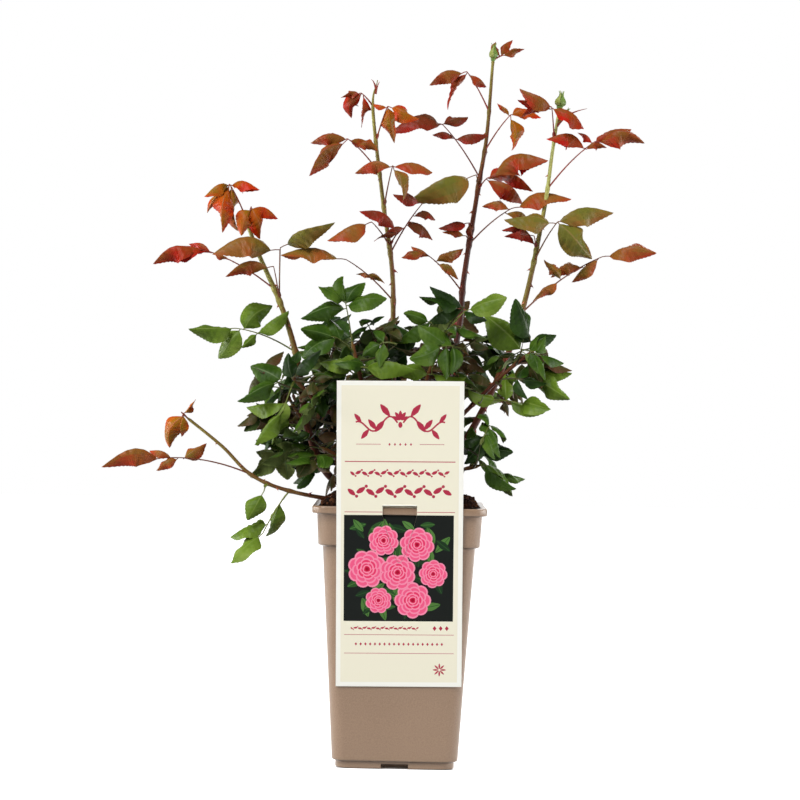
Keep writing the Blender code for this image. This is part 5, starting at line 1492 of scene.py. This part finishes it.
def panel_shapes(draw):
    """The printed panel: a wreath of blooms on dark foliage."""
    left, low, right, high = PANEL
    shapes = [(rectangle(*PANEL), "night")]
    for k in range(PANEL_LEAVES):
        long = draw.uniform(*PANEL_LEAF)
        x, y = draw.uniform(left + long, right - long), draw.uniform(low + long, high - long)
        tint = draw.choice(("leaf_low", "leaf_low", "leaf_mid", "leaf_mid", "leaf_high"))
        shapes += painted_leaf(x, y, long, draw.uniform(0, 6.3), tint)
    x, y = (left + right) / 2, (low + high) / 2 - 3
    for k, (reach, radius) in enumerate(BLOOMS):
        angle = math.radians(BLOOM_START + BLOOM_STEP * k)
        shapes += rosette(x + reach * math.cos(angle), y + reach * math.sin(angle), radius, 0.7 * k)
    return shapes + rosette(x - 1, y - 1, 18, 0.4)


# A scroll of the sprig: its steps, and the place along it and the side of each leaf.
SCROLL_STEPS = 22
SCROLL_LEAVES = ((0.16, 1), (0.34, -1), (0.52, 1), (0.70, -1), (0.88, 1))


def sprig(x, y, scale, tint):
    """A line-drawn sprig: two mirrored scrolls with leaves on either side of a bud."""
    shapes = []
    for sign in (-1, 1):
        scroll = []
        for t in (k / SCROLL_STEPS for k in range(SCROLL_STEPS + 1)):
            rise = 5.5 * math.sin(2.6 * math.pi * t) * (1 - 0.35 * t) - 3 * t
            scroll.append((x + sign * scale * (2 + 30 * t), y + scale * rise))
        shapes.append((stroke(scroll, 1.2 * scale), tint))
        for t, lift in SCROLL_LEAVES:
            cx, cy = scroll[round(SCROLL_STEPS * t)]
            turn = (0.9 if lift > 0 else -0.9) * sign + (math.pi if sign < 0 else 0)
            long = scale * (6.0 - 2.2 * t)
            shapes.append((oval(cx + math.cos(turn) * long, cy + math.sin(turn) * long, long, 0.40 * long,
                                turn, 12, 0.5), tint))
    for k in range(5):
        angle = math.pi / 2 + (k - 2) * 0.62
        px, py = x + 3.2 * scale * math.cos(angle), y + 2.2 * scale + 3.4 * scale * math.sin(angle)
        shapes.append((oval(px, py, 3.3 * scale, 1.35 * scale, angle, 12, 0.3), tint))
    shapes.append((oval(x, y - 1.5 * scale, 1.5 * scale, 2.2 * scale, 0, 12), tint))
    return shapes


def row_of(x, y, count, spacing, shape):
    """A row of small shapes centred on a point."""
    return [item for k in range(count) for item in shape(x + (k - (count - 1) / 2) * spacing, y, k)]


def lozenge(size):
    """A small upright lozenge, for a row."""
    high = 1.3 * size
    return lambda x, y, k: [([(x - size, y), (x, y - high), (x + size, y), (x, y + high)], "rule")]


def leaf_pair(size):
    """A small pair of leaves with a berry, which alternates up and down along a row."""
    def shape(x, y, k):
        up = size if k % 2 else -size
        long, broad, sign = 0.62 * size, 0.30 * size, math.copysign(1, up)
        return [(oval(x - long, y + 0.12 * up, long, broad, 0.7 * sign, 12, 0.4), "rule"),
                (oval(x + 0.50 * size, y - 0.12 * up, long, broad, -0.5 * sign, 12, 0.4), "rule"),
                (oval(x, y + 0.62 * up, 0.2 * size, 0.2 * size, 0, 10), "rule")]
    return shape


def petal(x, y, k):
    """One of the eight petals of a star, numbered round its middle."""
    angle = k * math.pi / 4
    return [(oval(x + 3.7 * math.cos(angle), y + 3.7 * math.sin(angle), 2.9, 0.9, angle, 12, 0.4), "rule")]


# Rows of small ornaments: the place of the middle, how many, their spacing, and the ornament.
ROWS = [(0, 240.8, 5, 5.2, lozenge(1.1)), (0, 212.5, 15, 6.2, leaf_pair(4.8)),
        (0, 194.5, 10, 9.4, leaf_pair(8.0)), (-14, 58.5, 15, 4.4, leaf_pair(2.6)),
        (41, 58.5, 3, 6.0, lozenge(1.9)), (0, 42.6, 19, 4.7, lozenge(1.25)), (40, 17, 8, 0, petal)]


def print_shapes(draw):
    """All that is printed on the card, from the ground upwards."""
    ground = rectangle(-CARD_HALF + MARGIN, MARGIN, CARD_HALF - MARGIN, CARD_TOP - MARGIN)
    shapes = [(ground, "ground")] + [(rectangle(*rule), "rule") for rule in RULES]
    shapes += panel_shapes(draw) + sprig(0, 262, 1.36, "rule")
    shapes += [(rectangle(side * 31 - 12, 240.6, side * 31 + 12, 241.1), "rule") for side in (-1, 1)]
    for row in ROWS:
        shapes += row_of(*row)
    return shapes


def tongue_half(height):
    """Half width of the label's tongue: straight at the top, then tapering to a round tip."""
    share = (height - TONGUE_TIP) / (LIP_FOOT - TONGUE_TIP)
    if share >= 1.0:
        return TONGUE_WIDTH / 2
    return TONGUE_WIDTH / 2 * (TONGUE_ROUND * math.sqrt(max(share, 0.0)) + TONGUE_STRAIGHT * share)


# Where the levels of the tongue's outline lie from its tip to the lip's foot.
TONGUE_LEVELS = (0.0, 0.02, 0.06, 0.12, 0.2, 0.3, 0.42, 0.56, 0.7, 0.85, 1.0)
# Where the card rests on the lip and on the wall, how it leans between them, how it swings on the
# lip, and both together.
REST_Y, FOOT_Y = -LIP_HALF - 2 * GAP, -body_half(CARD_FOOT) - 2 * GAP
CARD_LEAN = math.atan2(FOOT_Y - REST_Y, LIP_FOOT - CARD_FOOT)
SWING = (Matrix.Translation((0, REST_Y, POT_HEIGHT)) @ Matrix.Rotation(CARD_SWING, 4, "Y")
         @ Matrix.Translation((0, -REST_Y, -POT_HEIGHT)))
SET_CARD = SWING @ Matrix.Translation((0, FOOT_Y, CARD_FOOT)) @ Matrix.Rotation(CARD_LEAN, 4, "X")


def tongue_outline(grow):
    """The tongue's outline on the card, in mm, from its tip up to its hinge."""
    levels = [TONGUE_TIP + (LIP_FOOT - TONGUE_TIP) * share for share in TONGUE_LEVELS]
    levels.append(TONGUE_HINGE - TONGUE_DROP)
    right = []
    for k, z in enumerate(levels):
        height = (z - CARD_FOOT) / math.cos(CARD_LEAN) - (0 if k else grow)
        right.append(((tongue_half(z) + grow) / MM, height / MM))
    return right + [(-x, y) for x, y in reversed(right)]


def on_card(x, height, depth):
    """A point of the card, from its place in mm and its depth in the card."""
    return SET_CARD @ Vector((x * MM, depth - CARD_THICK, height * MM))


def on_tongue(x, height, depth):
    """A point of the tongue, which comes from the slot in the lip and bends to the card's plane."""
    flush = SET_CARD @ Vector((x * MM, depth - CARD_THICK + GAP, height * MM))
    behind = flush.copy()
    behind.y = SLOT_Y - CARD_THICK / 2 + depth
    share = (LIP_FOOT - TONGUE_DROP - flush.z) / TONGUE_BEND
    return behind.lerp(flush, min(max(share, 0.0), 1.0) ** 0.7)


def cut_apart(outlines):
    """Flat points, and the faces between all outlines, each with the outlines it lies in."""
    coords, polygons = [], []
    for outline in map(counterclockwise, outlines):
        polygons.append(tuple(range(len(coords), len(coords) + len(outline))))
        coords += outline
    found = delaunay_2d_cdt([Vector(p) for p in coords], [], polygons, 1, 1e-5)
    return found[0], [(face, sorted(owners)) for face, owners in zip(found[2], found[5]) if owners]


def make_label(draw):
    """The printed card, leaning on lip and wall, with its tongue hooked down through the lip."""
    shapes = [(rectangle(-CARD_HALF, 0, CARD_HALF, CARD_TOP), "card")] + print_shapes(draw)
    shapes += [(tongue_outline(TONGUE_CUT), "window"), (tongue_outline(0.0), "tongue")]
    flat, faces = cut_apart([outline for outline, name in shapes])
    card_part, tongue_part = [], []
    for face, owners in faces:
        names = [shapes[k][1] for k in owners]
        printed = [name for name in names if name not in ("window", "tongue")][-1]
        if "tongue" in names:
            tongue_part.append((face, printed))
        elif "window" not in names:
            card_part.append((face, printed))
    skin = Skin()
    add_slab(skin, flat, card_part, on_card)
    add_slab(skin, flat, tongue_part, on_tongue)
    add_bridge(skin)
    label = skin.piece("label_card", "label_card", crease=30)
    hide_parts("label")


def add_slab(skin, flat, part, place):
    """A printed sheet with its plain back and its cut edges."""
    used = sorted({k for face, tint in part for k in face})
    number = {k: n for n, k in enumerate(used)}
    points = [place(flat[k].x, flat[k].y, 0.0) for k in used]
    points += [place(flat[k].x, flat[k].y, CARD_THICK) for k in used]
    front = [tuple(number[k] for k in face) for face, tint in part]
    back = [tuple(k + len(used) for k in reversed(face)) for face in front]
    edges = dict.fromkeys(edge for face in front for edge in zip(face, face[1:] + face[:1]))
    walls = [(b, a, a + len(used), b + len(used)) for a, b in edges if (b, a) not in edges]
    tints = [PRINT_FINISHES[tint] for face, tint in part]
    tints += [PRINT_FINISHES["card"]] * len(back) + [PRINT_FINISHES["edge"]] * len(walls)
    skin.add(points, front + back + walls, tints)


def add_bridge(skin):
    """The strip of card that crosses the lip from the window's top to the tongue."""
    half = TONGUE_WIDTH / 2
    face_y = REST_Y - (TONGUE_HINGE - LIP_FOOT) * math.tan(CARD_LEAN) - CARD_THICK
    rings = []
    for y, drop in ((face_y, -0.6), (face_y + 1.6 * MM, 0.0), (SLOT_Y - 1.6 * MM, 0.0), (SLOT_Y, -1.2)):
        top = TONGUE_HINGE - MM + drop * MM
        foot = top - CARD_THICK
        corners = ((-half, y, top), (half, y, top), (half, y, foot), (-half, y, foot))
        rings.append([SWING @ Vector(corner) for corner in corners])
    skin.add(*loft(rings), PRINT_FINISHES["card"])


# -------------------- the plant

GROUPS = {
    "young_left": ("left", "centre"), "young_right": ("tall", "right"),
    "low": ("low_left", "low_right", "side_right"), "front": ("front_left", "front_right"),
    "thicket": ("thicket_low", "thicket_left", "thicket_outer"), "back": ("back_left", "back_right"),
}
# The space round the crown where leaves take the deep tints, painted shade, and how plum-tinged ones lie.
SHADE_MIDDLE, SHADE_HALF = mm(-14, 18, 330), mm(104, 84, 84)
PLUM_SPREAD, PLUM_SHARE = 31.0, 0.3


def solid_tree(name):
    """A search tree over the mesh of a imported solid."""
    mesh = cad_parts[name].data
    corners = [v.co.copy() for v in mesh.vertices]
    return BVHTree.FromPolygons(corners, [tuple(p.vertices) for p in mesh.polygons])


def grow_leaves(shoots):
    """Grow the leaves of the solids by their rule, then smaller ones in what space is left."""
    growth = Growth(shoots, [solid_tree(name) for name in ("pot", "soil", "label", "crown")])
    for shoot in shoots:
        for row in LEAVES.get(shoot.name, []):
            growth.place(shoot, row)
    for filling, sizes, season in ((0, FILL_SIZES, ""), (1, FINE_SIZES, "-fine")):
        for shoot in shoots:
            if shoot.name in FILLS:
                row = FILLS[shoot.name]
                growth.fill(shoot, *row[filling], (mm(*row[2]), mm(*row[3])), sizes, season)
    return growth.leaves


def shown_tone(plan, tone):
    """Leaves round the crown take the deep tints as painted shade, and a few others are tinged with plum."""
    place = plan[0][2]
    depth = math.hypot(*((place[i] - SHADE_MIDDLE[i]) / SHADE_HALF[i] for i in range(3)))
    # Painted shade: green leaves inside this space take the near-black deep tints.
    if tone in ("green", "dark", "light") and depth < 1.0:
        return "deep"
    if tone in ("green", "dark") and noise.noise(place * PLUM_SPREAD) > PLUM_SHARE:
        return "plum"
    return tone


def add_buds(buds, stalks, shoot, draw):
    """The buds near a shoot's tip; one beside the tip has a stalk of its own."""
    for down, reach, length, radius in BUDS.get(shoot.name, []):
        base, axis = shoot.below_tip(down)
        tip = base + mm(*reach)
        if tip != base:
            axis = (axis + (tip - base).normalized()).normalized()
            stalk = tube([base, (base + tip) / 2 - UP * MM, tip], lambda s: BUD_STALK, STALK_SIDES)
            stalks.add(*stalk, STALK_FINISHES["light"])
        make_bud(buds, tip, axis, length * MM, radius * MM, draw)


def add_wires(blades, stalks, shoot, draw):
    """The bare wiry stalks near a shoot's tip."""
    for down, reach in WIRES.get(shoot.name, []):
        base = shoot.below_tip(down)[0]
        wire_path = [base, base + 0.5 * mm(*reach) + UP * 2 * MM, base + mm(*reach)]
        compound_leaf(blades, stalks, (wire_path, []), "young", "red", draw)


def make_group(group, names, shoots, leaves, buds):
    """The leaves, the stalks and the canes of a group of shoots, each joined in one piece."""
    blades, stalks, canes = Skin(), Skin(), Skin()
    for name in names:
        draw = random.Random(name + "-looks")
        make_cane(canes, shoots[name], leaves[name])
        for plan, age, tone in leaves[name]:
            compound_leaf(blades, stalks, plan, age, shown_tone(plan, tone), draw)
        add_buds(buds, stalks, shoots[name], draw)
        add_wires(blades, stalks, shoots[name], draw)
    slot = "young_foliage" if group.startswith("young") else "green_foliage"
    foliage = blades.piece("foliage_" + group, slot)
    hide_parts(*["leaves_" + name for name in names])
    stalks.piece("stalks_" + group, slot)
    cane = canes.piece("canes_" + group, "cane_bark", crease=70)
    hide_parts(*["bough_" + name for name in names])


def make_plant():
    """Every cane with its leaves, joined by kind in a few groups."""
    shoots = {name: Shoot(name, *sizes) for name, sizes in SHOOTS.items()}
    leaves = grow_leaves(list(shoots.values()))
    make_crown(list(shoots.values()))
    buds = Skin()
    for group, names in GROUPS.items():
        make_group(group, names, shoots, leaves, buds)
    buds.piece("buds", "young_foliage")


# -------------------- floor, light and camera

# The floor: half its width, its tint and glow, and how far it lies below the pot.
FLOOR_HALF, FLOOR_TINT, FLOOR_GLOW, FLOOR_DROP = 6, (0.85, 0.85, 0.85, 1), 0.7, 0.3 * MM
BACKDROP_STRENGTH, FILL_STRENGTH = 1.0, 0.15
# The sun's way, power and breadth, and the softboxes: place, target, width, height and power.
SUN_WAY, SUN_POWER, SUN_BREADTH = (-0.35, -0.70, 0.95), 2.8, math.radians(30)
SOFTBOXES = {
    "front_left": ((-1.3, -1.9, 1.1), (0, 0, 0.4), 0.8, 1.2, 10),
    "front_right": ((1.5, -1.6, 0.9), (0, 0, 0.4), 0.6, 1.2, 6),
    "back": ((0.5, 2.0, 1.1), (0, 0, 0.4), 1.2, 1.2, 14),
    "strip_left": ((-1.3, -0.02, 0.4), (0, 0, 0.25), 0.45, 1.4, 16),
    "strip_right": ((1.3, -0.02, 0.4), (0, 0, 0.25), 0.45, 1.4, 16),
}
# The camera: its place, lens and sensor width (mm), and roll.
CAMERA_PLACE, CAMERA_LENS, CAMERA_SENSOR = (-0.002, -2.4, 0.3655), 106.4, 36.0
CAMERA_ROLL = math.radians(-1.2)


def make_stage():
    """A plain pale floor that glows, but not under the pot: painted shade seen in the foot's notches."""
    floor_mesh = bpy.data.meshes.new("floor")
    corners = [(x * half, y * half, 0) for half in (FLOOR_HALF, FOOT_HALF - MM)
               for x, y in ((-1, -1), (1, -1), (1, 1), (-1, 1))]
    sides = [(k, (k + 1) % 4, 4 + (k + 1) % 4, 4 + k) for k in range(4)]
    floor_mesh.from_pydata(corners, [], sides + [(4, 5, 6, 7)])
    # The second finish, without glow, is painted shade for the floor under the pot.
    for name, glow in (("pale_floor", FLOOR_GLOW), ("floor_under_pot", 0.0)):
        made = material(name, Base_Color=FLOOR_TINT, Roughness=0.6, Emission_Color=WHITE,
                        Emission_Strength=glow)[0]
        floor_mesh.materials.append(made)
    floor_mesh.polygons[4].material_index = 1
    floor = put("floor", floor_mesh)
    floor.location.z = -FLOOR_DROP
    floor.visible_diffuse = False


def make_sky():
    """A white backdrop for the camera, and soft light from all round."""
    world = bpy.data.worlds.new("studio")
    bpy.context.scene.world = world
    world.use_nodes = True
    tree = world.node_tree
    tree.nodes.clear()
    rays = node(tree, "LightPath")
    sky = node(tree, "Background", Color=WHITE, Strength=BACKDROP_STRENGTH)
    fill = node(tree, "Background", Color=WHITE, Strength=FILL_STRENGTH)
    mix = node(tree, "MixShader")
    out = node(tree, "OutputWorld")
    wire(tree, (rays, "Is Camera Ray", mix, 0), (fill, 0, mix, 1), (sky, 0, mix, 2), (mix, 0, out, "Surface"))


def softbox(name, place, target, width, height, power):
    """A rectangular light that faces a point."""
    light = bpy.data.lights.new(name, "AREA")
    light.shape, light.size, light.size_y, light.energy = "RECTANGLE", width, height, power
    holder = put(name, light)
    holder.location = place
    holder.rotation_euler = (Vector(target) - Vector(place)).to_track_quat("-Z", "Z").to_euler()


def make_lights():
    """A broad sun from the front and above, and the softboxes."""
    sun = bpy.data.lights.new("sky_light", "SUN")
    sun.energy, sun.angle = SUN_POWER, SUN_BREADTH
    put("sky_light", sun).rotation_euler = Vector(SUN_WAY).to_track_quat("Z", "Y").to_euler()
    for name, sizes in SOFTBOXES.items():
        softbox(name, *sizes)


def make_camera():
    """Level with the middle of the plant, and rolled a little."""
    camera_data = bpy.data.cameras.new("camera")
    camera_data.lens, camera_data.sensor_width = CAMERA_LENS, CAMERA_SENSOR
    camera = put("camera", camera_data)
    camera.location = CAMERA_PLACE
    camera.rotation_euler = (math.radians(90), CAMERA_ROLL, 0)
    bpy.context.scene.camera = camera
    bpy.context.scene.view_settings.view_transform = "Standard"


LEAF_FINISHES = leaf_finishes()
STALK_FINISHES = {tone: finish("stalk_" + tone, tint, "stalk") for tone, tint in STALKS.items()}
BARK_FINISHES = ramp("bark", BARK, BARK_STEPS, "bark")
THORN_FINISHES = [finish(f"thorn_{k}", tint, "thorn") for k, tint in enumerate(THORNS)]
BUD_FINISHES = {name: finish("bud_" + name, tint, "bud") for name, tint in BUD_TINTS.items()}
SOIL_FINISHES = [finish(f"compost_{k}", tint, "compost") for k, tint in enumerate(SOIL_TINTS)]
PRINT_FINISHES = {name: finish("print_" + name, tint, "print") for name, tint in PRINT.items()}

make_camera()
make_sky()
make_lights()
make_stage()
make_pot()
make_soil(random.Random("compost"))
make_label(random.Random("label"))
make_plant()
